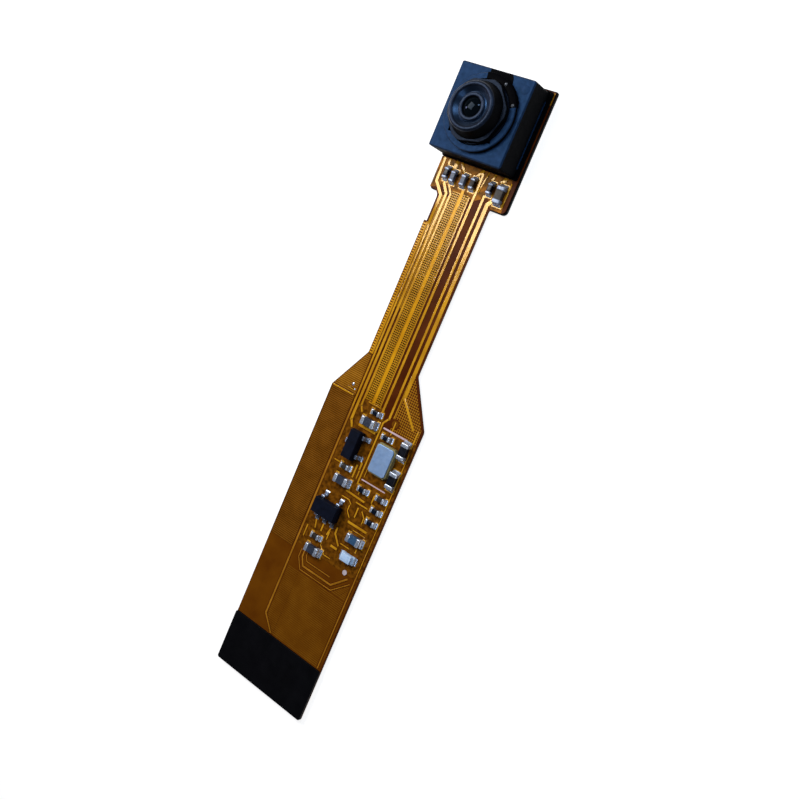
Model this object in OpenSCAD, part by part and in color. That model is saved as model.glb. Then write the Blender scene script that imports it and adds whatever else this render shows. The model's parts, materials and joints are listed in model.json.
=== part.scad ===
// Camera module on a flexible ribbon: a screw-in wide-angle lens in a square
// holder at the head, a narrow neck of traces, and a wide part that carries the
// small circuit and ends in a 22-way contact tongue.
// The Z axis is the optical axis and Z = 0 is the underside of the head's
// backing plate. The ribbon lies flat and runs towards -Y.

/* [Ribbon] */
// Overall length, contact end to head tip
flex_length = 62; // [58:0.5:90]
// Thickness of the flexible circuit
flex_t = 0.13; // [0.1:0.01:0.2]
// Width of the wide part and its contact tongue
wide_w = 11.5; // [11.5:0.1:14]
// Length of the wide part, contact end to shoulder
wide_l = 29.8; // [27:0.2:36]
// Length of the tapering shoulder
shoulder_l = 4.3; // [3:0.1:6]
// Width of the neck
neck_w = 6.1; // [6:0.1:7.5]
// Sideways place of the neck's centre line, from the optical axis
neck_shift = -0.2; // [-0.6:0.05:0.4]
// Step that thins the neck's left edge near the head
neck_step = 0.3; // [0.1:0.05:0.5]
// Length of the thinned stretch of neck
neck_step_l = 2.9; // [2:0.1:6]

/* [Head] */
// Width of the head's backing plate
head_w = 8.7; // [8.6:0.1:11]
// Length of the head's backing plate
head_l = 11.6; // [11:0.1:14]
// Sideways place of the head's centre line, from the optical axis
head_shift = 0.2; // [0:0.05:0.25]
// Distance from the optical axis to the head's tip
axis_to_tip = 4.3; // [4.2:0.1:6]
// Thickness of the backing plate
plate_t = 0.3; // [0.2:0.05:0.8]
// Rim of backing plate left bare around the flexible circuit
plate_margin = 0.1; // [0.05:0.05:0.2]

/* [Contact tongue] */
// Number of contacts
contact_count = 22; // [10:1:22]
// Pitch of the contacts
contact_pitch = 0.5; // [0.4:0.1:0.5]
// Width of one contact
contact_w = 0.32; // [0.2:0.02:0.36]
// Length of one contact
contact_l = 3.6; // [2:0.1:4.5]
// Length of the black stiffener over the contacts
stiffener_l = 5.2; // [4.8:0.1:7]
// Thickness of the stiffener
stiffener_t = 0.22; // [0.1:0.02:0.3]

/* [Lens holder] */
// Side of the square holder
holder_w = 8; // [7.8:0.1:8.2]
// Height of the holder's flat top over the circuit
holder_h = 3; // [2.8:0.1:4.5]
// Radius of the holder's upright edges
holder_edge_r = 0.25; // [0.1:0.05:0.5]
// Bevel round the holder's top
holder_bevel = 0.12; // [0.05:0.01:0.2]
// Diameter of the lens bore
bore_d = 6; // [5.8:0.05:6.4]
// Wall of the raised collar round the bore
collar_wall = 0.55; // [0.4:0.05:0.6]
// Height of the collar over the holder's top
collar_h = 0.4; // [0.2:0.05:0.8]
// Side of the square chamber over the sensor
chamber_w = 6.6; // [6:0.1:7]
// Thickness of the ledge that carries the filter
ledge_t = 0.25; // [0.2:0.05:0.4]
// Length of the glue relief along the foot of each side wall
relief_l = 6.3; // [4:0.1:7]
// Height of the glue relief
relief_h = 0.3; // [0.15:0.05:0.5]
// Depth of the glue relief
relief_d = 0.15; // [0.05:0.05:0.3]
// Width of the bead of adhesive on the broad side of the head
bead_w = 0.35; // [0.2:0.05:0.4]
// Height of the bead
bead_h = 0.22; // [0.1:0.02:0.4]

/* [Lens barrel] */
// Radial clearance of the thread in the bore
thread_fit = 0.02; // [0.01:0.01:0.05]
// Length of the threaded stretch
thread_l = 1.6; // [1.4:0.1:1.8]
// Gap between the collar and the grip flange
flange_gap = 0.1; // [0.05:0.05:0.4]
// Thickness of the grip flange
flange_t = 0.4; // [0.2:0.05:0.7]
// Diameter of the grip flange over its round parts
flange_d = 5.9; // [5.6:0.05:6.4]
// Distance across the six flats of the flange
flange_flats = 5.52; // [5.4:0.02:5.6]
// Turn of the first flat, from +X
flange_turn = 40; // [0:5:60]
// Diameter of the neck under the flange
barrel_neck_d = 5.2; // [5:0.05:5.3]
// Height of the front rim over the holder's flat top
nose_h = 2.02; // [1.9:0.02:3.2]
// Diameter of the front rim
rim_d = 4.5; // [4.3:0.05:4.8]
// Width of the rounded front rim
rim_w = 0.45; // [0.3:0.05:0.5]
// Diameter of the front opening
opening_d = 1.8; // [1.6:0.05:2]
// Width of the ring round the front opening
ring_w = 0.36; // [0.25:0.01:0.4]
// Drop of that ring below the rim
ring_drop = 0.12; // [0.05:0.01:0.2]
// Thickness of the wall round the front opening
front_wall = 0.3; // [0.2:0.02:0.4]

/* [Lens elements] */
// Clearance of the elements in the barrel
element_fit = 0.02; // [0.01:0.01:0.04]
// Diameter of the front bore
front_bore_d = 2.7; // [2.5:0.05:2.9]
// Diameter of the middle bore
middle_bore_d = 3.6; // [3.3:0.05:3.8]
// Length of the middle bore
middle_bore_l = 0.9; // [0.8:0.05:1]
// Diameter of the rear bore
rear_bore_d = 4.6; // [4.2:0.05:4.8]
// Length of the rear bore
rear_bore_l = 1; // [0.95:0.05:1.1]
// Thickness of the front element at its edge
front_lens_t = 0.75; // [0.5:0.05:0.8]
// Thickness of the middle element at its edge
middle_lens_t = 0.66; // [0.5:0.02:0.7]
// Thickness of the rear element at its edge
rear_lens_t = 0.55; // [0.4:0.05:0.6]
// Diameter of the aperture stop
stop_d = 0.8; // [0.5:0.05:1.2]

/* [Sensor] */
// Width of the image sensor, across the ribbon
sensor_w = 5.4; // [4.5:0.1:5.8]
// Length of the image sensor, along the ribbon
sensor_l = 4.9; // [4.2:0.1:5.8]
// Thickness of the image sensor
sensor_t = 0.4; // [0.3:0.05:0.5]
// Side of the square infrared filter
filter_w = 5.6; // [5.4:0.1:5.9]
// Thickness of the filter
filter_t = 0.3; // [0.2:0.05:0.3]

/* [Circuit] */
// Height of the traces over the film
trace_t = 0.02; // [0.01:0.005:0.04]
// Length of a small chip
small_l = 1; // [0.9:0.05:1.1]
// Width of a small chip
small_w = 0.5; // [0.4:0.05:0.55]
// Height of a small chip
small_h = 0.45; // [0.3:0.05:0.55]
// Length of a large chip
large_l = 1.6; // [1.4:0.05:1.65]
// Width of a large chip
large_w = 0.8; // [0.7:0.05:0.85]
// Height of a large chip
large_h = 0.6; // [0.4:0.05:0.9]
// How far a chip's metal end stands proud of its body
end_proud = 0.02; // [0.01:0.01:0.04]
// Reach of the solder past a chip's end
solder_reach = 0.25; // [0.15:0.05:0.3]
// Width of the crystal package
crystal_w = 2.2; // [2:0.05:2.2]
// Length of the crystal package
crystal_l = 3; // [2.6:0.1:3]
// Height of the crystal's ceramic base
crystal_base_h = 0.5; // [0.3:0.05:0.7]
// Thickness of the crystal's metal lid
crystal_lid_t = 0.15; // [0.1:0.01:0.25]
// Length of the regulator and driver bodies
sot_l = 2.9; // [2.8:0.05:3]
// Width of the three-lead regulator's body
regulator_w = 1.3; // [1.2:0.05:1.4]
// Width of the five-lead driver's body
driver_w = 1.6; // [1.5:0.05:1.7]
// Height of both bodies
sot_h = 0.95; // [0.8:0.05:1.2]
// Gap under both bodies
sot_standoff = 0.06; // [0.02:0.01:0.12]
// Reach of a lead past its body
lead_reach = 0.55; // [0.4:0.05:0.6]
// Width of a lead
lead_w = 0.4; // [0.3:0.02:0.5]
// Thickness of a lead
lead_t = 0.14; // [0.1:0.01:0.18]

/* [Hidden] */
$fn = 64;
eps = 0.01;

// places along the ribbon
y_tip = axis_to_tip;
y_end = y_tip - flex_length;
y_wide = y_end + wide_l;
y_neck = y_wide + shoulder_l;
y_head = y_tip - head_l;
y_step = y_head - neck_step_l;
neck_x0 = neck_shift - neck_w / 2;
neck_x1 = neck_shift + neck_w / 2;
plate_x0 = head_shift - head_w / 2;
plate_x1 = head_shift + head_w / 2;

// heights
z_flex = plate_t;
z_top = plate_t + flex_t;
z_holder = z_top + holder_h;
z_collar = z_holder + collar_h;
thread_drop = 0.15;
z_thread_top = z_collar - thread_drop;
z_thread = z_thread_top - thread_l;
z_flange = z_collar + flange_gap;
z_rim = z_holder + nose_h;
z_shoulder_rear = z_thread + rear_bore_l;
z_shoulder_front = z_shoulder_rear + middle_bore_l;
z_ring = z_rim - ring_drop;
z_front_seat = z_ring - front_wall;
ledge_gap = 0.15;
z_ledge_top = z_thread - ledge_gap;
z_ledge = z_ledge_top - ledge_t;

// the row of chips between the holder and the head's lower edge
row_y = (y_head - holder_w / 2) / 2;

small = [small_l, small_w, small_h];
large = [large_l, large_w, large_h];
ceramic_grey = [0.50, 0.47, 0.50];
ceramic_brown = [0.36, 0.30, 0.26];
ferrite_black = [0.05, 0.05, 0.07];
resistor_black = [0.07, 0.07, 0.10];
coil_blue = [0.32, 0.40, 0.50];

// every chip: name, x, y, turn, size, colour
CHIPS = [
    ["head_capacitor_1", -2.82, row_y + 0.13, 90, small, ceramic_grey],
    ["head_capacitor_2", -1.97, row_y, 90, small, ceramic_grey],
    ["head_capacitor_3", -0.77, row_y, 90, small, ceramic_grey],
    ["head_capacitor_4", 0.28, row_y, 90, small, ceramic_brown],
    ["head_capacitor_5", 2.2, row_y + 0.13, 90, small, resistor_black],
    ["head_capacitor_6", 3.4, row_y - 0.12, 90, large, ceramic_brown],
    ["neck_resistor", 0.35, y_wide - 0.5, 0, small, resistor_black],
    ["neck_capacitor", 0.05, y_wide - 1.6, 0, large, ceramic_grey],
    ["regulator_capacitor_1", -0.55, y_wide - 6.4, 0, small, ceramic_brown],
    ["regulator_capacitor_2", -0.25, y_wide - 7.7, 0, large, ceramic_grey],
    ["driver_capacitor_1", -0.55, y_wide - 13.75, 0, small, ceramic_brown],
    ["driver_capacitor_2", -0.25, y_wide - 15, 0, large, ceramic_grey],
    ["crystal_capacitor", 2.45, y_wide - 2.1, 0, small, resistor_black],
    ["ferrite_bead_1", 4.75, y_wide - 2.4, 90, large, ferrite_black],
    ["ferrite_bead_2", 4.85, y_wide - 5.3, 90, large, ferrite_black],
    ["pull_up_resistor_1", 2.25, y_wide - 7.5, 0, small, resistor_black],
    ["pull_up_resistor_2", 4.45, y_wide - 7.4, 0, small, ceramic_brown],
    ["pull_up_resistor_3", 4.45, y_wide - 8.6, 0, small, resistor_black],
    ["pull_up_resistor_4", 4.45, y_wide - 9.8, 0, small, resistor_black],
    ["supply_choke", 3.6, y_wide - 12, 0, large, coil_blue],
];

regulator_x = -0.45;
regulator_y = y_wide - 4.1;
driver_x = -0.35;
driver_y = y_wide - 10.8;
crystal_x = 3.1;
crystal_y = y_wide - 4.1;
light_x = 3.65;
light_y = y_wide - 13.8;
test_pad_x = 3.9;
test_pad_y = y_wide - 15.2;
test_pad_r = 0.25;
solder_side = 0.06;
lead_pitch = 0.95;
// each lead: x and y of the body's flank over it, and the way it points
REGULATOR_LEADS = [
    [regulator_x - regulator_w / 2, regulator_y, 180],
    [regulator_x + regulator_w / 2, regulator_y + lead_pitch, 0],
    [regulator_x + regulator_w / 2, regulator_y - lead_pitch, 0],
];
DRIVER_LEADS = [
    for (i = [-1, 0, 1]) [driver_x + i * lead_pitch, driver_y - driver_w / 2, -90],
    for (i = [-1, 1]) [driver_x + i * lead_pitch, driver_y + driver_w / 2, 90],
];

// ---- helpers ----

function unit(v) = v / norm(v);
function turn_by(a) = a > 180 ? a - 360 : a < -180 ? a + 360 : a;

// the arc that rounds corner b between a and c by radius r, or the bare corner
function corner(a, b, c, r) =
    r == 0 ? [b] :
    let (u = unit(a - b), v = unit(c - b),
         half = acos(u * v) / 2,
         centre = b + unit(u + v) * r / sin(half),
         p = b + u * r / tan(half) - centre,
         q = b + v * r / tan(half) - centre,
         start = atan2(p[1], p[0]),
         sweep = turn_by(atan2(q[1], q[0]) - start),
         steps = 6)
    [for (i = [0 : steps]) centre + r * [cos(start + sweep * i / steps), sin(start + sweep * i / steps)]];

// an outline of [x, y, corner radius] points, with its corners rounded
function rounded(pts) =
    let (n = len(pts), at = function(i) let (p = pts[(i + n) % n]) [p[0], p[1]])
    [for (i = [0 : n - 1]) each corner(at(i - 1), at(i), at(i + 1), pts[i][2])];

module slab(pts, z, t) {
    translate([0, 0, z]) linear_extrude(t) polygon(rounded(pts));
}

// a block with its footprint centred on the origin
module block(size, z = 0) {
    translate([-size[0] / 2, -size[1] / 2, z]) cube(size);
}

module square_prism(w, l, r, z, t) {
    slab([[-w / 2, -l / 2, r], [w / 2, -l / 2, r], [w / 2, l / 2, r], [-w / 2, l / 2, r]], z, t);
}

// a flat track of width w along a line of points, with round bends and ends
module track(pts, w) {
    for (i = [0 : len(pts) - 1]) translate(pts[i]) circle(d = w, $fn = 24);
    for (i = [1 : len(pts) - 1]) {
        d = pts[i] - pts[i - 1];
        translate(pts[i - 1]) rotate(atan2(d[1], d[0])) translate([0, -w / 2]) square([norm(d), w]);
    }
}

// ---- ribbon ----

module flex_circuit() {
    shoulder_r = 0.6;
    inner_r = 0.5;
    head_r = 0.4;
    m = plate_margin;
    x0 = plate_x0 + m;
    x1 = plate_x1 - m;
    step_x = neck_x0 + neck_step;
    color([0.62, 0.38, 0.05])
    slab([
        [-wide_w / 2, y_end, 0.2], [wide_w / 2, y_end, 0.2],
        [wide_w / 2, y_wide, shoulder_r], [neck_x1, y_neck, inner_r],
        [neck_x1, y_head + m, 0.3], [x1, y_head + m, head_r],
        [x1, y_tip - m, 0.1], [x0, y_tip - m, 0.1],
        [x0, y_head + m, 0.2], [step_x, y_head + m, 0.7],
        [step_x, y_step, 0], [neck_x0, y_step, 0],
        [neck_x0, y_neck, inner_r], [-wide_w / 2, y_wide, 0.2],
    ], z_flex, flex_t);
}

// traces that run the length of the neck: offset from its centre line and width
NECK_TRACKS = [
    [-2.43, 0.42], [-1.92, 0.25], [-1.45, 0.22], [-0.3, 0.3], [0.55, 0.12], [1.05, 0.28], [2, 0.28], [2.58, 0.36],
];
// hatched ground areas of the neck: offset and width
NECK_GROUNDS = [[-0.92, 0.8], [0.18, 0.56]];

module neck_tracks() {
    top = y_head + 0.4;
    x = [for (t = NECK_TRACKS) neck_shift + t[0]];
    w = [for (t = NECK_TRACKS) t[1]];
    edge_x = -wide_w / 2;
    // the left band bends round the corner of the head
    track([[x[0], y_wide], [x[0], y_head - 0.6], [x[0] - 0.9, y_head + 0.6], [x[0] - 0.9, row_y + 0.9]], w[0]);
    // two bands bend to the lower ends of the first two chips
    track([[x[1], y_wide - 2.4], [x[1], y_head - 0.2], [-2.7, row_y - 0.75]], w[1]);
    track([[x[2], y_wide - 1.2], [x[2], y_head - 0.1], [-1.97, row_y - 0.75]], w[2]);
    track([[x[3], y_wide + 0.15], [x[3], top]], w[3]);
    track([[x[4], y_wide + 0.15], [x[4], top]], w[4]);
    track([[x[5], y_wide - 0.3], [x[5], row_y]], w[5]);
    track([[x[6], y_wide - 0.4], [x[6], y_head], [2.2, row_y - 0.65]], w[6]);
    track([[x[7], y_wide + 2], [x[7], y_head + 0.2], [3.1, y_head + 0.75]], w[7]);
    for (g = NECK_GROUNDS)
        translate([neck_shift + g[0] - g[1] / 2, y_neck - 3.7]) square([g[1], top - y_neck + 3.7]);
    track([[-1, y_wide + 0.12], [0.6, y_wide + 0.12]], 0.16);
}

module wide_tracks() {
    left_x = neck_shift + NECK_TRACKS[0][0] + 0.1;
    stub_y = y_end + stiffener_l;
    feed_x = neck_shift + NECK_TRACKS[1][0];
    clock_x = neck_shift + NECK_TRACKS[6][0];
    band_x = neck_shift + NECK_TRACKS[7][0];
    // the long line down the left side, which turns in at the tongue
    track([[left_x, y_wide + 0.4], [left_x, stub_y + 1.6], [left_x + 1.4, stub_y + 0.15]], 0.2);
    track([[feed_x, y_wide - 2.4], [feed_x + 0.55, y_wide - 2.9]], 0.2);
    track([[neck_shift + NECK_TRACKS[2][0], y_wide - 1.2], [-0.85, y_wide - 1.6]], 0.2);
    track([[clock_x, y_wide - 0.4], [1.35, y_wide - 0.95], [1.35, y_wide - 7.1], [1.6, y_wide - 7.5]], 0.15);
    track([[band_x, y_wide + 2], [4.7, y_wide - 0.3]], 0.2);
    // the round pad by the crystal and its feed
    translate([2.7, y_wide - 0.45]) circle(r = 0.32, $fn = 32);
    track([[2.7, y_wide - 0.45], [2.6, y_wide - 1.7]], 0.18);
    track([[0.6, y_wide - 5.9], [0.6, y_wide - 7]], 0.22);
    track([[2, y_wide - 10.85], [4.4, y_wide - 10.85]], 0.24);
    track([[1.25, y_wide - 11.9], [1.25, y_wide - 12.5], [2.1, y_wide - 13.4]], 0.2);
    for (x = [-0.95, 0, 0.95])
        track([[driver_x + x, driver_y - driver_w / 2 - 0.7], [driver_x + x * 0.8, y_wide - 13.1]], 0.18);
    // the raised loop under the driver circuit and its fainter echo outside
    track([[-1.15, y_wide - 15.4], [-1.15, y_wide - 16.2], [-0.7, y_wide - 17],
           [3, y_wide - 17], [4.45, y_wide - 15.6]], 0.24);
    track([[-1.55, y_wide - 15.6], [-1.55, y_wide - 16.4], [-0.85, y_wide - 17.45],
           [3.2, y_wide - 17.45], [4.9, y_wide - 15.9]], 0.12);
    // the border lines down both sides
    for (s = [-1, 1])
        track([[s * (wide_w / 2 - 0.3), y_wide - 0.6], [s * (wide_w / 2 - 0.3), stub_y + 0.15]], 0.1);
}

// the ground under every chip, lead and its solder, which the traces stop at
module lands() {
    m = solder_side;
    for (c = CHIPS) let (size = c[4]) translate([c[1], c[2]]) rotate(c[3])
        square([size[0] + 2 * solder_reach, size[1] + 2 * m], center = true);
    for (l = concat(REGULATOR_LEADS, DRIVER_LEADS)) translate([l[0], l[1]]) rotate(l[2])
        translate([0, -lead_w / 2 - m]) square([lead_reach + solder_reach, lead_w + 2 * m]);
    translate([light_x, light_y]) square([large_l + 2 * solder_reach, large_w], center = true);
    translate([crystal_x, crystal_y]) square([crystal_w, crystal_l + 0.2], center = true);
    translate([test_pad_x, test_pad_y]) circle(r = test_pad_r, $fn = 32);
}

module copper_traces() {
    color([0.80, 0.55, 0.12]) translate([0, 0, z_top]) linear_extrude(trace_t) difference() {
        union() {
            neck_tracks();
            wide_tracks();
        }
        lands();
    }
}

module head_plate() {
    color([0.05, 0.05, 0.055])
    slab([[plate_x0, y_head, 0.3], [plate_x1, y_head, 0.45], [plate_x1, y_tip, 0.15], [plate_x0, y_tip, 0.15]],
         0, plate_t);
}

module contact_stiffener() {
    color([0.04, 0.04, 0.05])
    translate([0, y_end + stiffener_l / 2]) square_prism(wide_w, stiffener_l, 0.2, z_top, stiffener_t);
}

module contact_fingers() {
    finger_t = 0.02;
    start = 0.25;
    first_x = -(contact_count - 1) * contact_pitch / 2;
    color([0.85, 0.65, 0.25])
    for (i = [0 : contact_count - 1])
        translate([first_x + i * contact_pitch - contact_w / 2, y_end + start, z_flex - finger_t])
            cube([contact_w, contact_l, finger_t]);
}

module test_pad() {
    color([0.75, 0.72, 0.68]) translate([test_pad_x, test_pad_y, z_top]) cylinder(r = test_pad_r, h = 2 * trace_t);
}

// ---- lens holder ----

NOTCH_ANGLES = [24, 62];
notch_w = 0.36;
notch_depth = 0.2;

// the holder's outer block, bevelled round its top
module holder_block() {
    h = holder_w / 2;
    side = [[-h, 0], [h, 0], [h, holder_h - holder_bevel], [h - holder_bevel, holder_h],
            [holder_bevel - h, holder_h], [-h, holder_h - holder_bevel]];
    translate([0, 0, z_top]) intersection() {
        square_prism(holder_w, holder_w, holder_edge_r, 0, holder_h);
        rotate([90, 0, 0]) translate([0, 0, -h]) linear_extrude(holder_w) polygon(side);
        rotate([90, 0, 90]) translate([0, 0, -h]) linear_extrude(holder_w) polygon(side);
    }
}

module lens_holder() {
    window_w = chamber_w - 2;
    collar_r = bore_d / 2 + collar_wall;
    foot_bevel = 0.08;
    color([0.09, 0.10, 0.12]) difference() {
        union() {
            holder_block();
            translate([0, 0, z_holder - eps]) cylinder(r = collar_r, h = collar_h - foot_bevel + eps);
            translate([0, 0, z_collar - foot_bevel])
                cylinder(r1 = collar_r, r2 = collar_r - foot_bevel, h = foot_bevel);
        }
        // lens bore, filter window and sensor chamber
        translate([0, 0, z_ledge_top]) cylinder(d = bore_d, h = z_collar - z_ledge_top + eps);
        block([window_w, window_w, holder_h], z_ledge - eps);
        block([chamber_w, chamber_w, z_ledge - z_top + eps], z_top - eps);
        // glue relief along the foot of both side walls
        for (s = [0, 180]) rotate(s)
            translate([holder_w / 2 - relief_d, -relief_l / 2, z_top + 0.25]) cube([relief_d + eps, relief_l, relief_h]);
        // notches in the collar for the drops that lock the thread
        for (a = NOTCH_ANGLES) rotate(a)
            translate([bore_d / 2 - 0.1, -notch_w / 2, z_collar - notch_depth])
                cube([collar_wall + 0.2, notch_w, notch_depth + eps]);
    }
}

module holder_adhesive() {
    thin = 0.12;
    h = holder_w / 2;
    gap = 0.005;
    color([0.03, 0.03, 0.03]) difference() {
        slab([[-h - thin, -h - thin, 0.2], [h + bead_w, -h - thin, 0.2],
              [h + bead_w, h + thin, 0.2], [-h - thin, h + thin, 0.2]], z_top, bead_h);
        block([holder_w + 2 * gap, holder_w + 2 * gap, bead_h + 2 * eps], z_top - eps);
    }
}

module thread_lock() {
    drop_r = notch_w / 2 - 0.02;
    color([0.75, 0.75, 0.72])
    for (a = NOTCH_ANGLES) rotate(a)
        translate([bore_d / 2 + collar_wall / 2, 0, z_collar - notch_depth]) {
            cylinder(r = drop_r, h = notch_depth);
            translate([0, 0, notch_depth]) intersection() {
                sphere(r = drop_r);
                cylinder(r = drop_r, h = drop_r);
            }
        }
}

// ---- lens barrel and its elements ----

module lens_barrel() {
    thread_r = bore_d / 2 - thread_fit;
    neck_r = barrel_neck_d / 2;
    rim_r = rim_d / 2;
    lip_r = rim_w / 2;
    opening_r = opening_d / 2;
    ring_r = opening_r + ring_w;
    dish_drop = ring_drop + 0.08;
    thread_bevel = 0.1;
    round_edge = [for (a = [0 : 15 : 180]) [rim_r - lip_r + lip_r * cos(a), z_rim - lip_r + lip_r * sin(a)]];
    profile = concat(
        [[rear_bore_d / 2, z_thread], [thread_r - thread_bevel, z_thread], [thread_r, z_thread + thread_bevel],
         [thread_r, z_thread_top], [neck_r, z_thread_top], [neck_r, z_flange + flange_t]],
        round_edge,
        [[ring_r + 0.1, z_rim - dish_drop], [ring_r, z_ring - 0.03], [ring_r - 0.06, z_ring],
         [opening_r + 0.1, z_ring], [opening_r, z_ring - 0.08], [opening_r, z_front_seat],
         [front_bore_d / 2, z_front_seat], [front_bore_d / 2, z_shoulder_front],
         [middle_bore_d / 2, z_shoulder_front], [middle_bore_d / 2, z_shoulder_rear],
         [rear_bore_d / 2, z_shoulder_rear]]);
    color([0.07, 0.075, 0.09]) {
        rotate_extrude($fn = 96) polygon(profile);
        // the grip flange: round, with six shallow flats
        translate([0, 0, z_flange]) difference() {
            intersection() {
                cylinder(d = flange_d, h = flange_t, $fn = 96);
                rotate(flange_turn - 30) cylinder(d = flange_flats / cos(30), h = flange_t, $fn = 6);
            }
            translate([0, 0, -eps]) cylinder(r = neck_r - 0.1, h = flange_t + 2 * eps, $fn = 96);
        }
    }
}

module front_lens() {
    r = front_bore_d / 2 - element_fit;
    dome_r = opening_d / 2 - element_fit;
    curve = 1.7;
    top = z_front_seat - element_fit;
    dome_top = z_ring - 0.03;
    hollow = 1.2;
    color([0.25, 0.35, 0.38, 0.6]) difference() {
        union() {
            translate([0, 0, top - front_lens_t]) cylinder(r = r, h = front_lens_t);
            intersection() {
                translate([0, 0, dome_top - curve]) sphere(r = curve);
                translate([0, 0, top - eps]) cylinder(r = dome_r, h = dome_top - top + 2 * eps);
            }
        }
        translate([0, 0, top - front_lens_t - hollow * 0.7]) sphere(r = hollow);
    }
}

module aperture_spacer() {
    r = front_bore_d / 2 - element_fit;
    z0 = z_shoulder_front + element_fit;
    z1 = z_front_seat - front_lens_t - 2 * element_fit;
    bore_r = r - 0.25;
    stop_t = 0.08;
    color([0.05, 0.05, 0.05]) difference() {
        translate([0, 0, z0]) cylinder(r = r, h = z1 - z0);
        translate([0, 0, z0 + stop_t]) cylinder(r = bore_r, h = z1 - z0);
        translate([0, 0, z0 - eps]) cylinder(d = stop_d, h = stop_t + 2 * eps);
    }
}

module middle_lens() {
    r = middle_bore_d / 2 - element_fit;
    top = z_shoulder_front - element_fit;
    hollow = 2.6;
    sag = 0.2;
    color([0.35, 0.42, 0.45, 0.6]) difference() {
        translate([0, 0, top - middle_lens_t]) cylinder(r = r, h = middle_lens_t);
        translate([0, 0, top + hollow - sag]) sphere(r = hollow);
    }
}

module spacer_ring() {
    r = middle_bore_d / 2 - element_fit;
    z0 = z_shoulder_rear - element_fit / 2;
    z1 = z_shoulder_front - middle_lens_t - 2 * element_fit;
    color([0.05, 0.05, 0.05]) translate([0, 0, z0]) difference() {
        cylinder(r = r, h = z1 - z0);
        translate([0, 0, -eps]) cylinder(r = r - 0.45, h = z1 - z0 + 2 * eps);
    }
}

module rear_lens() {
    r = rear_bore_d / 2 - element_fit;
    top = z_shoulder_rear - element_fit;
    hollow = 3.2;
    sag = 0.18;
    color([0.35, 0.42, 0.45, 0.6]) difference() {
        translate([0, 0, top - rear_lens_t]) cylinder(r = r, h = rear_lens_t);
        translate([0, 0, top - rear_lens_t - hollow + sag]) sphere(r = hollow);
    }
}

module lens_retainer() {
    r = rear_bore_d / 2 - element_fit;
    z0 = z_thread + 0.05;
    z1 = z_shoulder_rear - rear_lens_t - 2 * element_fit;
    color([0.06, 0.06, 0.06]) translate([0, 0, z0]) difference() {
        cylinder(r = r, h = z1 - z0);
        translate([0, 0, -eps]) cylinder(r = r - 0.4, h = z1 - z0 + 2 * eps);
    }
}

module infrared_filter() {
    color([0.45, 0.70, 0.72, 0.5]) block([filter_w, filter_w, filter_t], z_ledge - filter_t);
}

module image_sensor() {
    color([0.20, 0.22, 0.26]) block([sensor_w, sensor_l, sensor_t], z_top);
}

// ---- circuit ----

// a chip: ceramic body with a metal cap at each end, centred on its footprint
module chip(size, colour) {
    cap_l = size[0] * 0.22;
    p = end_proud;
    color(colour) {
        block([size[0] - 2 * p, size[1] - 2 * p, size[2] - 2 * p], p);
        for (s = [0, 180]) rotate(s)
            translate([size[0] / 2 - cap_l, -size[1] / 2, 0]) cube([cap_l, size[1], size[2]]);
    }
}

// the sloping solder from a land up a chip's end, at +X of the origin
module fillet(w, h, reach) {
    foot = 0.04;
    rotate([90, 0, 0]) translate([0, 0, -w / 2]) linear_extrude(w)
        polygon([[0, 0], [reach, 0], [reach, foot], [reach * 0.35, h * 0.35], [0, h]]);
}

module solder_joints() {
    side = solder_side;
    climb = 0.6;
    foot_l = 0.3;
    color([0.80, 0.81, 0.84]) translate([0, 0, z_top]) {
        for (c = CHIPS) let (size = c[4]) translate([c[1], c[2]]) rotate(c[3])
            for (s = [0, 180]) rotate(s) translate([size[0] / 2, 0])
                fillet(size[1] + 2 * side, size[2] * climb, solder_reach);
        for (l = concat(REGULATOR_LEADS, DRIVER_LEADS)) translate([l[0], l[1]]) rotate(l[2])
            translate([lead_reach, 0]) fillet(lead_w + 2 * side, lead_t, solder_reach * 0.6);
        for (s = [0, 180]) translate([light_x, light_y]) rotate(s)
            translate([large_l / 2, 0]) fillet(large_w, large_h * 0.4, solder_reach);
        for (sx = [-1, 1], sy = [-1, 1])
            translate([crystal_x + sx * (crystal_w / 2 - foot_l), crystal_y + sy * crystal_l / 2])
                rotate(90 * sy) fillet(foot_l, 0.12, 0.08);
    }
}

// a moulded body whose four sides draft away from the mid line, its long side along X
module moulded_body(l, w, h) {
    draft = 0.08;
    mid = h * 0.45;
    function side(s) = [[-s / 2 + draft, 0], [s / 2 - draft, 0], [s / 2, mid],
                        [s / 2 - draft, h], [-s / 2 + draft, h], [-s / 2, mid]];
    intersection() {
        rotate([90, 0, 0]) translate([0, 0, -w / 2]) linear_extrude(w) polygon(side(l));
        rotate([90, 0, 90]) translate([0, 0, -l / 2]) linear_extrude(l) polygon(side(w));
    }
}

module regulator_body() {
    color([0.04, 0.045, 0.06]) translate([regulator_x, regulator_y, z_top + sot_standoff])
        rotate(90) moulded_body(sot_l, regulator_w, sot_h);
}

module driver_body() {
    color([0.04, 0.045, 0.06]) translate([driver_x, driver_y, z_top + sot_standoff])
        moulded_body(sot_l, driver_w, sot_h);
}

// a gull-wing lead that leaves the body's flank at mid height and lands flat
module lead(place) {
    top = sot_standoff + sot_h * 0.45 + lead_t / 2;
    bend = lead_reach * 0.42;
    slope = 0.06;
    color([0.78, 0.79, 0.82])
    translate([place[0], place[1], z_top]) rotate(place[2])
        rotate([90, 0, 0]) translate([0, 0, -lead_w / 2]) linear_extrude(lead_w)
            polygon([[0, top - lead_t], [bend - lead_t, top - lead_t], [bend - lead_t + slope, 0],
                     [lead_reach, 0], [lead_reach, lead_t], [bend + slope, lead_t],
                     [bend, top - 0.04], [bend - 0.04, top], [0, top]]);
}

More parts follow.
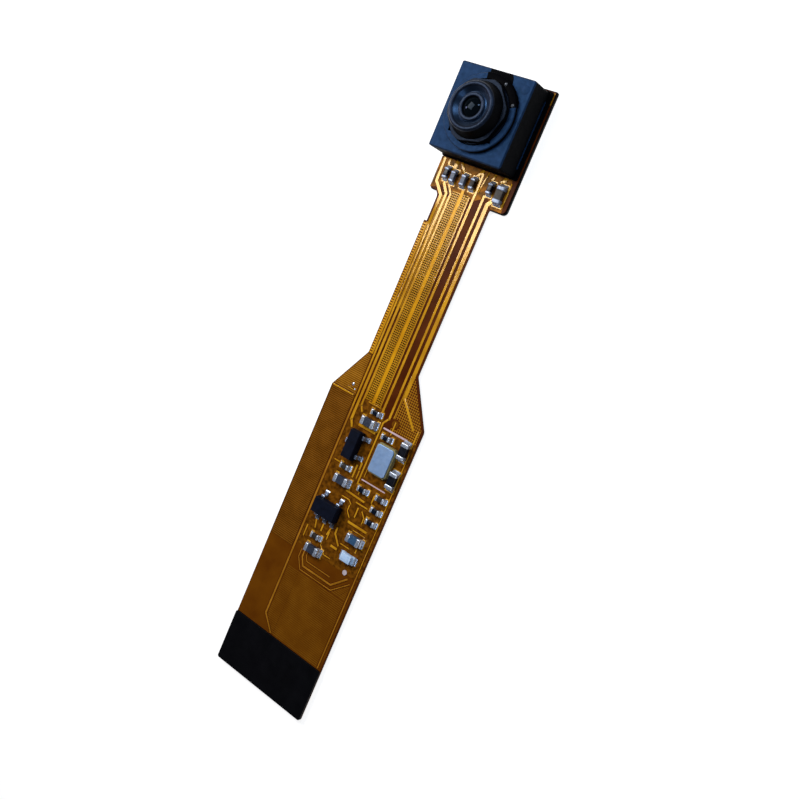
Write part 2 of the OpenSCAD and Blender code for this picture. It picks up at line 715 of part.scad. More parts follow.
module crystal_base() {
    castle_r = 0.2;
    color([0.72, 0.68, 0.55]) translate([crystal_x, crystal_y]) difference() {
        block([crystal_w, crystal_l, crystal_base_h], z_top);
        for (sx = [-1, 1], sy = [-1, 1])
            translate([sx * crystal_w / 2, sy * crystal_l / 2, z_top - eps])
                cylinder(r = castle_r, h = crystal_base_h + 2 * eps, $fn = 24);
    }
}

module crystal_lid() {
    inset = 0.12;
    color([0.62, 0.70, 0.82]) translate([crystal_x, crystal_y])
        square_prism(crystal_w - 2 * inset, crystal_l - 2 * inset, 0.28, z_top + crystal_base_h, crystal_lid_t);
}

// a chip light: a thin substrate with metal ends under a clear moulded block
module indicator_light() {
    base_h = large_h * 0.4;
    lens_l = large_l * 0.72;
    color([0.80, 0.90, 0.95]) translate([light_x, light_y, z_top]) {
        chip([large_l, large_w, base_h], [0.8, 0.9, 0.95]);
        block([lens_l, large_w - 2 * end_proud, large_h - base_h], base_h - end_proud);
    }
}

// ---- drawing ----

flex_circuit();
copper_traces();
head_plate();
contact_stiffener();
contact_fingers();
lens_holder();
holder_adhesive();
thread_lock();
lens_barrel();
front_lens();
aperture_spacer();
middle_lens();
spacer_ring();
rear_lens();
lens_retainer();
infrared_filter();
image_sensor();
regulator_body();
driver_body();
crystal_base();
crystal_lid();
indicator_light();
solder_joints();
test_pad();
for (i = [0 : len(REGULATOR_LEADS) - 1])
    lead(REGULATOR_LEADS[i]);
for (i = [0 : len(DRIVER_LEADS) - 1])
    lead(DRIVER_LEADS[i]);
for (c = CHIPS)
    translate([c[1], c[2], z_top]) rotate(c[3]) chip(c[4], c[5]);
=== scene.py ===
# A wide-angle camera module on a flexible ribbon circuit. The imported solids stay
# where they are: this file gives each one its finish, and stands a finer piece
# in for the plain ones. Lengths are in millimetres until a mesh is finished.
import json
import math
import bmesh
import bpy
from mathutils import Matrix, Vector, noise


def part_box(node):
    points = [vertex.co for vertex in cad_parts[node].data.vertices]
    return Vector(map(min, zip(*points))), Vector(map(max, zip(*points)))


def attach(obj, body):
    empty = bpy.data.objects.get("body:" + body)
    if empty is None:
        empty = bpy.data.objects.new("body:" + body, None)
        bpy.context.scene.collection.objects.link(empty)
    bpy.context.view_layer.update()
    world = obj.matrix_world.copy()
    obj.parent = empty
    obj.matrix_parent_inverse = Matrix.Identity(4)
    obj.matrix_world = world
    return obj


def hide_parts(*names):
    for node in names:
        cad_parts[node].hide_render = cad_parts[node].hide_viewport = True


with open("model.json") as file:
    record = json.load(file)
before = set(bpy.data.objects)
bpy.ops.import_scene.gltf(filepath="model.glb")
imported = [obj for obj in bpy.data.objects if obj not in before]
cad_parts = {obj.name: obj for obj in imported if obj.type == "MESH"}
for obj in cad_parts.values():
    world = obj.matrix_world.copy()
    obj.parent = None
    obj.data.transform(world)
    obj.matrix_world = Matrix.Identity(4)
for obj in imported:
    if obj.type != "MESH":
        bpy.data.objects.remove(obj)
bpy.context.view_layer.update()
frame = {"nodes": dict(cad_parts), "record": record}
scene = bpy.context.scene
mm = 0.001


def nodeBox(node):
    low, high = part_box(node)
    return low / mm, high / mm


def nodeCentre(node):
    low, high = nodeBox(node)
    return (low + high) / 2


view = {
    "place": (48.75, -13.42, 76.2),
    "right": (0.7713, 0.3923, -0.5012),  # the camera's own axes
    "up": (-0.3957, 0.9123, 0.1053),
    "lens": 43.93,
    "shift": (-0.0418, -0.0165),
    "clipStart": 5,
}


def placeCamera():
    camera = bpy.data.objects.new("camera", bpy.data.cameras.new("camera"))
    scene.collection.objects.link(camera)
    right = Vector(view["right"]).normalized()
    back = right.cross(Vector(view["up"])).normalized()
    up = back.cross(right)
    turn = Matrix((right, up, back)).transposed()
    camera.matrix_world = Matrix.Translation(Vector(view["place"]) * mm) @ turn.to_4x4()
    camera.data.lens = view["lens"]
    camera.data.shift_x, camera.data.shift_y = view["shift"]
    camera.data.clip_start = view["clipStart"] * mm
    scene.camera = camera


placeCamera()
print("camera placed")


def toLinear(code):
    # an sRGB hex colour as the linear colour that a socket takes
    parts = [int(code[i:i + 2], 16) / 255 for i in (1, 3, 5)]
    return [p / 12.92 if p <= 0.04045 else ((p + 0.055) / 1.055) ** 2.4 for p in parts] + [1]


def addNode(tree, kind, inputs=(), **settings):
    # one node, with its settings, its values and its links
    node = tree.nodes.new(kind)
    for key, value in settings.items():
        setattr(node, key, value)
    for socket, value in dict(inputs).items():
        if isinstance(value, bpy.types.NodeSocket):
            tree.links.new(value, node.inputs[socket])
        else:
            node.inputs[socket].default_value = value
    return node


def roundEdges(bm, edges, width, segments=2):
    bmesh.ops.bevel(bm, geom=list(edges), offset=width, offset_type="OFFSET", segments=segments,
                    profile=0.5, affect="EDGES", clamp_overlap=True, material=-1)


def softenEdges(bm, width, segments=2, angle=30):
    # rounds every edge that turns by more than the angle
    sharp = [e for e in bm.edges if e.is_manifold and e.calc_face_angle() > math.radians(angle)]
    roundEdges(bm, sharp, width, segments)


def raiseFaces(bm, faces, rise):
    # gives faces a thickness, and returns the raised ones
    made = bmesh.ops.extrude_face_region(bm, geom=list(faces), use_keep_orig=True)["geom"]
    bmesh.ops.translate(bm, vec=(0, 0, rise), verts=[g for g in made if isinstance(g, bmesh.types.BMVert)])
    return {g for g in made if isinstance(g, bmesh.types.BMFace)}


def cutAway(bm, point, normal):
    # removes all that lies past a plane
    everything = list(bm.verts) + list(bm.edges) + list(bm.faces)
    bmesh.ops.bisect_plane(bm, geom=everything, plane_co=point, plane_no=normal, clear_outer=True)


def addDisc(bm, place, radius, topRadius, depth, steps):
    bmesh.ops.create_cone(bm, cap_ends=True, segments=steps, radius1=radius, radius2=topRadius, depth=depth,
                          matrix=Matrix.Translation(place))


def addBlock(bm, low, high, turn=0, centre=(0, 0, 0), material=0):
    # a block between two corners, turned about the centre
    low, high = Vector(low), Vector(high)
    middle, size = (low + high) / 2, high - low
    place = (Matrix.Translation(centre) @ Matrix.Rotation(math.radians(turn), 4, "Z")
             @ Matrix.Translation(middle) @ Matrix.Diagonal((*size, 1)))
    verts = bmesh.ops.create_cube(bm, size=1, matrix=place)["verts"]
    faces = {f for v in verts for f in v.link_faces}
    for face in faces:
        face.material_index = material
    return verts


def spinProfile(bm, profile, steps, closed=True):
    # turns a line of (radius, height) points about the optical axis
    verts = [bm.verts.new((r, 0, z)) for r, z in profile]
    pairs = list(zip(verts, verts[1:] + verts[:1] if closed else verts[1:]))
    edges = [bm.edges.new(pair) for pair in pairs]
    bmesh.ops.spin(bm, geom=verts + edges, cent=(0, 0, 0), axis=(0, 0, 1), angle=2 * math.pi,
                   steps=steps, use_merge=True)
    bmesh.ops.remove_doubles(bm, verts=bm.verts, dist=0.0005)


def arc(centre, radius, start, end, steps):
    angles = [math.radians(start + (end - start) * i / steps) for i in range(steps + 1)]
    return [(centre[0] + radius * math.cos(a), centre[1] + radius * math.sin(a)) for a in angles]


studio = {
    "centre": (0, -27),
    "floorRadius": 420,
    "bend": 60,
    "paper": "#8c8c8c",
    "glow": 0.84,        # what the floor shows of its own white
    "shade": "#9c9c9c",  # what it adds where it is lit, so a shadow still shows
    "sky": "#eef3ff",
    "ambient": 0.035,
    # azimuth, elevation, distance, size, level and tint: level 1 lights a white
    # surface that faces the lamp to white
    "lamps": {
        "key": (162, 55, 100, (55, 60), 1.08, "#fffcf6"),
        "overhead": (76, 60, 160, (20, 26), 0.24, "#e4efff"),
        "low": (182, 28, 150, (18, 22), 0.18, "#d6d2ff"),
        "window": (58, 48, 170, (60, 60), 0.26, "#e4efff"),
        "glint": (318, 50, 150, (16, 26), 0.1, "#dbe9ff"),
    },
}


def makeFloor():
    # a flat disc that bends up into a round wall, so every side has a pale ground
    s = studio
    bm = bmesh.new()
    flat = s["floorRadius"] - s["bend"]
    spinProfile(bm, [(0, 0)] + arc((flat, s["bend"]), s["bend"], -90, 0, 6), 96, closed=False)
    bmesh.ops.translate(bm, vec=(*s["centre"], 0), verts=bm.verts)
    bmesh.ops.scale(bm, vec=(mm, mm, mm), verts=bm.verts)
    mesh = bpy.data.meshes.new("floor")
    bm.to_mesh(mesh)
    bm.free()
    mesh.polygons.foreach_set("use_smooth", [True] * len(mesh.polygons))
    floor = bpy.data.objects.new("floor", mesh)
    scene.collection.objects.link(floor)
    # lit white paper; to the eye, to gloss and through glass it is mostly plain white
    material = bpy.data.materials.new("paperFloor")
    material.use_nodes = True
    tree = material.node_tree
    tree.nodes.clear()
    path = addNode(tree, "ShaderNodeLightPath").outputs
    seen = path["Is Camera Ray"]
    for ray in ("Is Glossy Ray", "Is Transmission Ray"):
        seen = addNode(tree, "ShaderNodeMath", {0: seen, 1: path[ray]}, operation="MAXIMUM").outputs[0]
    paper = addNode(tree, "ShaderNodeBsdfDiffuse", {"Color": toLinear(s["paper"])}).outputs[0]
    glow = addNode(tree, "ShaderNodeEmission", {"Color": (1, 1, 1, 1), "Strength": s["glow"]}).outputs[0]
    shade = addNode(tree, "ShaderNodeBsdfDiffuse", {"Color": toLinear(s["shade"])}).outputs[0]
    white = addNode(tree, "ShaderNodeAddShader", {0: glow, 1: shade}).outputs[0]
    mix = addNode(tree, "ShaderNodeMixShader", {0: seen, 1: paper, 2: white})
    addNode(tree, "ShaderNodeOutputMaterial", {"Surface": mix.outputs[0]})
    mesh.materials.append(material)


def lightWorld():
    world = bpy.data.worlds.new("studio")
    scene.world = world
    world.use_nodes = True
    tree = world.node_tree
    tree.nodes.clear()
    sky = addNode(tree, "ShaderNodeBackground", {
        "Color": toLinear(studio["sky"]), "Strength": studio["ambient"]}).outputs[0]
    white = addNode(tree, "ShaderNodeBackground", {"Color": (1, 1, 1, 1), "Strength": 1.0}).outputs[0]
    path = addNode(tree, "ShaderNodeLightPath").outputs
    mix = addNode(tree, "ShaderNodeMixShader", {0: path["Is Camera Ray"], 1: sky, 2: white})
    addNode(tree, "ShaderNodeOutputWorld", {"Surface": mix.outputs[0]})


def hangLamps():
    target = nodeCentre("lens_holder")
    for name, (azimuth, elevation, distance, size, level, tint) in studio["lamps"].items():
        a, e = math.radians(azimuth), math.radians(elevation)
        toLamp = Vector((math.cos(a) * math.cos(e), math.sin(a) * math.cos(e), math.sin(e)))
        data = bpy.data.lights.new(name, "AREA")
        data.shape = "RECTANGLE"
        data.size, data.size_y = [side * mm for side in size]
        data.energy = level * (math.pi * distance * mm) ** 2
        data.color = toLinear(tint)[:3]
        light = bpy.data.objects.new(name, data)
        scene.collection.objects.link(light)
        light.matrix_world = (Matrix.Translation((target + toLamp * distance) * mm)
                              @ toLamp.to_track_quat("Z", "Y").to_matrix().to_4x4())


makeFloor()
lightWorld()
hangLamps()
scene.view_settings.view_transform = "Standard"
print("floor, world and lamps set")


def makeSurface(name, values, shades=None, rough=None, grain=None):
    # a material whose shade, roughness and relief each wander with soft spots `size` mm across
    material = bpy.data.materials.new(name)
    material.use_nodes = True
    tree = material.node_tree
    shader = tree.nodes["Principled BSDF"]
    for socket, value in values.items():
        shader.inputs[socket].default_value = toLinear(value) if isinstance(value, str) else value
    place = addNode(tree, "ShaderNodeTexCoord").outputs["Object"]
    for pattern in filter(None, (shades, rough, grain)):
        where = place
        if "stretch" in pattern:
            where = addNode(tree, "ShaderNodeMapping", {
                "Vector": place, "Scale": pattern["stretch"]}).outputs["Vector"]
        spots = addNode(tree, "ShaderNodeTexNoise", {
            "Vector": where, "Scale": 1 / (pattern["size"] * mm), "Detail": pattern.get("detail", 3)})
        spots = spots.outputs["Fac"]
        if pattern is shades:
            ramp = addNode(tree, "ShaderNodeValToRGB", {"Fac": spots})
            ends = ramp.color_ramp.elements
            ends[0].position, ends[1].position = 0.5 - pattern["spread"], 0.5 + pattern["spread"]
            ends[0].color, ends[1].color = toLinear(pattern["dark"]), toLinear(pattern["light"])
            tree.links.new(ramp.outputs["Color"], shader.inputs["Base Color"])
        elif pattern is rough:
            span = addNode(tree, "ShaderNodeMapRange", {
                "Value": spots, "From Min": 0.3, "From Max": 0.7,
                "To Min": pattern["low"], "To Max": pattern["high"]})
            tree.links.new(span.outputs["Result"], shader.inputs["Roughness"])
        else:
            bump = addNode(tree, "ShaderNodeBump", {
                "Height": spots, "Distance": pattern["depth"] * mm, "Strength": pattern["strength"]})
            tree.links.new(bump.outputs["Normal"], shader.inputs["Normal"])
    return material


def makePolyimideFilm():
    # polyimide cover film on a dark base: deep red-brown, glossy, with faint ripples
    return makeSurface("polyimideFilm", {"IOR": 1.5, "Specular IOR Level": 0.03},
                       shades=dict(size=2.5, dark="#3f1805", light="#552708", spread=0.2),
                       rough=dict(size=2.5, low=0.28, high=0.4),
                       grain=dict(size=1.6, detail=2, depth=0.01, strength=0.5))


def makeFilmOverCopper(name, dark, light, level=0.5, rough=0.3, patch=2.2, rolled=0.0, gleam="#ffcf7e"):
    # rolled copper seen through the amber film: golden, with a golden gleam, and blotched by the glue;
    # the rolling lines run along the ribbon, 0.15 mm apart and drawn coarser than they are
    grain = dict(size=0.35, detail=2, depth=0.004, strength=0.5)
    if rolled:
        grain = dict(size=0.15, detail=1, depth=rolled, strength=1, stretch=(1, 0.04, 1))
    return makeSurface(name, {"IOR": 1.5, "Specular IOR Level": level, "Specular Tint": gleam},
                       shades=dict(size=patch, detail=6, dark=dark, light=light, spread=0.14),
                       rough=dict(size=0.7, low=rough - 0.05, high=rough + 0.05), grain=grain)


def makeMouldedBlack(name, dark, light, grain, rough, level, sheen="#ffffff"):
    # glass-filled black plastic from a spark-finished mould: matt, with a fine even tooth; `sheen` tints its
    # reflections, and a blue one is a painted sheen colour
    return makeSurface(name, {"IOR": 1.5, "Specular IOR Level": level, "Specular Tint": sheen},
                       shades=dict(size=0.5, dark=dark, light=light, spread=0.25),
                       rough=dict(size=0.3, low=rough - 0.06, high=rough + 0.06),
                       grain=dict(size=grain, detail=2, depth=0.012, strength=0.5))


def makeBlackLaminate():
    # black solder mask on a woven glass laminate: satin, with the weave just showing
    weave = 0.5  # mm between threads
    material = makeSurface("blackLaminate", {"IOR": 1.5, "Specular IOR Level": 0.05},
                           shades=dict(size=1.5, dark="#070709", light="#0d0d10", spread=0.25),
                           rough=dict(size=0.8, low=0.42, high=0.55))
    tree = material.node_tree
    place = addNode(tree, "ShaderNodeTexCoord").outputs["Object"]
    warp, weft = [addNode(tree, "ShaderNodeTexWave", {"Vector": place, "Scale": 1 / (weave * 2 * mm)},
                          wave_type="BANDS", bands_direction=axis).outputs["Fac"] for axis in ("X", "Y")]
    both = addNode(tree, "ShaderNodeMath", {0: warp, 1: weft}, operation="MULTIPLY").outputs[0]
    bump = addNode(tree, "ShaderNodeBump", {"Height": both, "Distance": 0.006 * mm, "Strength": 0.4})
    tree.links.new(bump.outputs["Normal"], tree.nodes["Principled BSDF"].inputs["Normal"])
    return material


def makePlatedMetal(name, dark, light, rough, metallic=1.0):
    # metal plating: reflective, with a faint frost that varies; a metallic share below 1 scatters light too
    return makeSurface(name, {"Metallic": metallic},
                       shades=dict(size=0.6, dark=dark, light=light, spread=0.25),
                       rough=dict(size=0.2, low=rough - 0.07, high=rough + 0.07),
                       grain=dict(size=0.25, detail=1, depth=0.004, strength=0.3))


def makeFiredCeramic(name, dark, light, rough=0.45):
    # sintered ceramic: even, fine grained, slightly dusty
    return makeSurface(name, {"IOR": 1.5, "Specular IOR Level": 0.2},
                       shades=dict(size=0.15, dark=dark, light=light, spread=0.25),
                       rough=dict(size=0.3, low=rough - 0.08, high=rough + 0.08),
                       grain=dict(size=0.05, detail=2, depth=0.003, strength=0.5))


def makeGlass(name, tint, coat, level, rough=0.02, clear=1.0):
    # lens glass with an anti-reflection coat: clear, with a coloured gleam; deep elements look dark
    return makeSurface(name, {"IOR": 1.52, "Transmission Weight": clear, "Specular IOR Level": level,
                              "Specular Tint": coat, "Base Color": tint},
                       rough=dict(size=0.8, low=rough, high=rough + 0.02))


def makeClearGlue():
    # a cured drop of clear adhesive: glossy and a little milky
    return makeSurface("clearGlue", {"IOR": 1.48, "Transmission Weight": 0.6},
                       shades=dict(size=0.2, dark="#50555e", light="#9aa0aa", spread=0.3),
                       rough=dict(size=0.15, low=0.12, high=0.22))


def makeLightResin():
    # translucent resin over the light's chip: pale, milky, soft gloss
    return makeSurface("lightResin", {
        "IOR": 1.5, "Subsurface Weight": 0.25, "Subsurface Radius": (0.3 * mm, 0.35 * mm, 0.4 * mm),
        "Subsurface Scale": 1.0, "Coat Weight": 0.3, "Coat Roughness": 0.15},
        shades=dict(size=0.3, dark="#a9c6e6", light="#c3daf2", spread=0.25),
        rough=dict(size=0.2, low=0.25, high=0.35),
        grain=dict(size=0.15, detail=2, depth=0.003, strength=0.4))


finishes = {
    "film": makePolyimideFilm(),
    "copper": makeFilmOverCopper("filmOverCopper", "#b07a12", "#cc931c", 1.0, 0.14, rolled=0.03,
                                 gleam="#ffe2ae"),
    "warmCopper": makeFilmOverCopper("filmOverWarmCopper", "#b57a0c", "#d09414", 0.4, 0.2, rolled=0.02),
    "shoulderHatch": makeFilmOverCopper("filmOverShoulderHatch", "#9d6912", "#b67c1e", 0.3, 0.25),
    "hatch": makeFilmOverCopper("filmOverHatch", "#bf8414", "#d89a22", 0.5, 0.18, rolled=0.03,
                                gleam="#ffe2ae"),
    "goldPlane": makeFilmOverCopper("filmOverBrightPlane", "#855808", "#9c6b12", 0.25, 0.22),
    "headPlane": makeFilmOverCopper("filmOverHeadPlane", "#351a04", "#9c5c0f", 0.1, 0.26, 0.7),
    "plane": makeFilmOverCopper("filmOverPlane", "#5e3506", "#74470c", 0.05, 0.35, 1.4),
    "deepPlane": makeFilmOverCopper("filmOverDeepPlane", "#5b2f05", "#693b07", 0.05, 0.35, 2.4),
    "fieldPlane": makeFilmOverCopper("filmOverChipField", "#472705", "#75460b", 0.05, 0.33, 0.4),
    "meshPlane": makeFilmOverCopper("filmOverMeshHoles", "#2e1903", "#3a2105", 0.12, 0.3),
    "bandPlane": makeFilmOverCopper("filmOverNeckBand", "#a06c0e", "#bb8216", 0.25, 0.22),
    "blockPlane": makeFilmOverCopper("filmOverBlockPlane", "#442605", "#503007", 0.05, 0.35, 1.4),
    "blockLine": makeFilmOverCopper("filmOverBlockLine", "#6e410c", "#7f4d12", 0.05, 0.35, 1.4),
    "faintLine": makeFilmOverCopper("filmOverFaintLine", "#6a400a", "#7b4f10", 0.05, 0.35, 1.4),
    "line": makeFilmOverCopper("filmOverLine", "#8f5e14", "#a46e1c", 0.1, 0.35, 1.4),
    # the blue specular tints of the holder, barrel, dish and flange are a painted blue sheen, the colour of
    # a bluish light
    "holder": makeMouldedBlack("sparkFinishedHolder", "#0e1825", "#1a2941", 0.1, 0.6, 0.5, "#3f93ee"),
    # a darker, less glossy copy of the holder's finish: painted shade on the walls that face away from the
    # light
    "holderShadedSide": makeMouldedBlack("holderShadedSide", "#050608", "#08090c", 0.12, 0.6, 0.02),
    "barrel": makeMouldedBlack("satinBarrel", "#06080e", "#0a0e17", 0.08, 0.42, 0.45, "#7492c4"),
    "dish": makeMouldedBlack("polishedDish", "#05070c", "#090d15", 0.9, 0.34, 1.0, "#7fb4f4"),
    "flangeTop": makeMouldedBlack("satinFlange", "#06080e", "#0a0e17", 0.08, 0.42, 0.16, "#86a6da"),
    # a darker, less glossy copy of the barrel's finish: painted shade on the sides of the cone and the
    # flange
    "barrelShadedSide": makeMouldedBlack("barrelShadedSide", "#040507", "#07080b", 0.08, 0.45, 0.02),
    "laminate": makeBlackLaminate(),
    "gold": makePlatedMetal("immersionGold", "#d9a441", "#e8ba5c", 0.24),
    # plain black, for the dark patch beyond the barrel and the bead along the holder's base
    "blackFill": makeMouldedBlack("plainBlackFill", "#020204", "#050507", 0.3, 0.5, 0.01),
    "glue": makeClearGlue(),
    "spacer": makeMouldedBlack("blackenedSpacer", "#0a0c0e", "#12161a", 0.1, 0.5, 0.4),
    "lens": makeGlass("coatedLensGlass", "#05090d", "#8fadd0", 0.08, 0.02, 0.05),
    "deepLens": makeGlass("deepLensGlass", "#0b1d22", "#2f8f80", 0.2, 0.05, 0.05),
    "filter": makeGlass("coatedFilterGlass", "#9cc8c4", "#7fd8c0", 0.1),
    "silicon": makeFiredCeramic("imageSensorSilicon", "#10222a", "#1c3a40", 0.3),
    "moulding": makeMouldedBlack("mouldedPackage", "#0a0d17", "#101523", 0.07, 0.5, 0.05),
    "tin": makePlatedMetal("tinnedLead", "#bcc9dd", "#d5dfed", 0.26, 0.7),
    # a darker copy of tin for the head row's ends: painted shade that holds back the key lamp's reflection
    # there
    "shadedHeadTin": makePlatedMetal("shadedHeadTin", "#66748c", "#8f9cb3", 0.4, 0.35),
    "wornTin": makePlatedMetal("wornTestPad", "#b3a4a8", "#cfc4c8", 0.5, 0.15),
    "lead": makePlatedMetal("trimmedLead", "#78869e", "#95a3b9", 0.26, 0.7),
    "solder": makePlatedMetal("reflowedSolder", "#9caac2", "#c8d4e6", 0.28, 0.7),
    "greyCeramic": makeFiredCeramic("greyCeramic", "#1f2430", "#363d4d", 0.5),
    "paleCeramic": makeFiredCeramic("paleCeramic", "#474f5e", "#6c7686", 0.45),
    "brownCeramic": makeFiredCeramic("brownCeramic", "#201c1a", "#36302c", 0.5),
    "ferrite": makeFiredCeramic("blackFerrite", "#07090f", "#0f131d", 0.35),
    "glaze": makeFiredCeramic("resistorGlaze", "#060a14", "#0e1626", 0.25),
    "coil": makeFiredCeramic("chokeCeramic", "#27435f", "#3a5a7a", 0.3),
    "crystalCeramic": makeFiredCeramic("crystalCeramic", "#7d7248", "#998f62", 0.6),
    # the lid's blue base colour is a painted reflection of a bluish light
    "lid": makePlatedMetal("platedLidBlueReflection", "#83a4d0", "#95b2d8", 0.45, 0.6),
    "resin": makeLightResin(),
    "ink": makeFiredCeramic("printedInk", "#b59aa0", "#cdb4ba", 0.6),
}
print("materials made:", len(finishes))


def finishPiece(name, bm, materials, replaces=(), sharp=35, outward=True):
    # the mesh in metres, smooth between its sharp edges, on its body
    if outward:
        bmesh.ops.recalc_face_normals(bm, faces=bm.faces)
    bmesh.ops.scale(bm, vec=(mm, mm, mm), verts=bm.verts)
    mesh = bpy.data.meshes.new(name)
    bm.to_mesh(mesh)
    bm.free()
    for key in materials:
        mesh.materials.append(finishes[key])
    mesh.polygons.foreach_set("use_smooth", [True] * len(mesh.polygons))
    mesh.set_sharp_from_angle(angle=math.radians(sharp))
    piece = bpy.data.objects.new(name, mesh)
    scene.collection.objects.link(piece)
    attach(piece, "root")
    if replaces:
        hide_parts(*replaces)
    return piece


def weighNormals(piece):
    # flat faces stay flat between their rounded edges
    piece.modifiers.new("Weighted normals", "WEIGHTED_NORMAL").keep_sharp = True


def copyNode(node):
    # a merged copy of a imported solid
    bm = bmesh.new()
    bm.from_mesh(frame["nodes"][node].data)
    bmesh.ops.scale(bm, vec=(1 / mm, 1 / mm, 1 / mm), verts=bm.verts)
    bmesh.ops.remove_doubles(bm, verts=bm.verts, dist=0.0005)
    bmesh.ops.dissolve_limit(bm, angle_limit=math.radians(0.5), verts=bm.verts, edges=bm.edges)
    return bm


def makeSoftened(node, name, finish, width, segments=2, angle=30):
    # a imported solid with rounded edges
    bm = copyNode(node)
    softenEdges(bm, width, segments, angle)
    weighNormals(finishPiece(name, bm, [finish], [node], outward=False))


chipFinish = {
    "ceramic_grey": "greyCeramic", "ceramic_brown": "brownCeramic", "ferrite_black": "ferrite",
    "resistor_black": "glaze", "coil_blue": "coil",
}
chips = {
    "capShare": 0.24,  # each metal end's share of the chip's length
    "proud": 0.03,     # how far the ends stand out from the body
    "edge": 0.035,     # rounding of the body
    "round": 0.07,     # and of the metal ends
    "reach": 0.25,     # solder past the chip's end
    "side": 0.06,      # solder past its flanks
    "climb": 0.72,     # how far up the solder goes, as a share of the height
    "landUnder": 0.1, "landPast": 0.06, "landSide": 0.12, "landHeight": 0.012,
    "paint": {  # chips that look unlike the rest of their kind
        "head_capacitor_1": "glaze", "head_capacitor_2": "paleCeramic", "head_capacitor_3": "paleCeramic"},
}
slotOf = {part["node"]: part["material_slot"] for part in frame["record"]["subparts"]}
chipNodes = [n for n in slotOf if slotOf[n] in chipFinish]
leadNodes = [n for n in slotOf if "_lead_" in n]

filmHigh = nodeBox("flex_circuit")[1]
wideX, zTop = filmHigh.x, filmHigh.z
yWide = nodeCentre("neck_resistor").y + 0.5  # the ribbon has its full width below this line
yNeck = yWide + 4.3                          # and its narrow width above this one
yHead = nodeBox("head_plate")[0].y
yStub = nodeBox("contact_stiffener")[1].y
yStep = yHead - 2.9                          # where the neck's left edge steps in
rowY = nodeCentre("head_capacitor_2").y
neckLeft, neckRight = -3.25, 2.85


def chipShape(node):
    # its foot, turn, length, width and height
    low, high = nodeBox(node)
    size = high - low
    turn = 90 if size.y > size.x else 0
    foot = Vector(((low.x + high.x) / 2, (low.y + high.y) / 2, zTop))
    return foot, turn, max(size.x, size.y), min(size.x, size.y), size.z


ribbon = {
    "trackHeight": 0.018,
    "gapHeight": 0.009,  # the dark gap that runs along each side of a track
    "gap": 0.08,
    "neckGap": 0.05,
    "planeHeight": 0.004,
    "lineHeight": 0.009, "linePitch": 0.19, "lineWidth": 0.1,
    "fringePitch": 0.25, "fringeWidth": 0.13,
    "meshHeight": 0.012,
    "neckTracks": [  # place across the neck, and width
        (-2.1, 0.28), (-1.65, 0.2), (-0.5, 0.34), (0.4, 0.11), (0.83, 0.25), (1.8, 0.24), (2.44, 0.4)],
    "warmTrack": 2,      # the one between the meshes
    "longRun": -2.53,    # the track that runs down to the tongue
    "darkerBelow": -14.4,  # runs that start below here take the darker line finish: painted shade, darker towards the tongue
    "blockEdge": -2.75,
    "neckHatches": [(-1.53, -0.7), (-0.325, 0.3)],
    "hatchPitch": (0.195, 0.21), "hatchWire": (0.034, 0.05),
    "shoulderPitch": (0.235, 0.235), "shoulderWire": (0.05, 0.05),
    "shoulderCorner": (2.35, -1.35), "shoulderInset": 0.3,
    "pad": (2.62, -0.6), "padRadius": 0.36, "padHeight": 0.008, "padClear": 0.5,
}


def shift(points, y):
    # points that are given from a line across the ribbon
    return [(across, y + along) for across, along in points]


def patch(left, right, low, high):
    return [(left, low), (right, low), (right, high), (left, high)]


def addTrack(bm, points, width, height=ribbon["trackHeight"], material=0, gap=ribbon["gap"]):
    # a strip along a line of points with mitred bends and rounded shoulders, over its dark gap
    line = [Vector((x, y, 0)) for x, y in points]
    last = len(line) - 1
    under = (width + 2 * gap, ribbon["gapHeight"], 1 if gap else material)
    for wide, tall, index in (under, (width, height, material)):
        old = set(bm.faces)
        grid = bmesh.ops.create_grid(bm, x_segments=last, y_segments=1, size=0.5)["verts"]
        for vert in grid:
            i = round((vert.co.x + 0.5) * last)
            came = (line[max(i, 1)] - line[max(i, 1) - 1]).normalized()
            goes = (line[i + 1] - line[i]).normalized() if i < last else came
            along = (came + goes).normalized()
            across = Vector((-along.y, along.x, 0)) * (wide / 2 / max(0.5, along.dot(goes)))
            vert.co = line[i] + across * (1 if vert.co.y > 0 else -1) + Vector((0, 0, zTop))
        tops = raiseFaces(bm, {f for v in grid for f in v.link_faces}, tall)
        rims = [e for e in {e for f in tops for e in f.edges} if sum(f in tops for f in e.link_faces) == 1]
        roundEdges(bm, rims, min(tall * 0.9, wide * 0.3))
        for face in set(bm.faces) - old:
            face.material_index = index


def addPlane(bm, corners, material):
    # a flat sheet of copper under the film
    face = bm.faces.new([bm.verts.new((x, y, zTop)) for x, y in corners])
    for raised in raiseFaces(bm, [face], ribbon["planeHeight"]):
        raised.material_index = material


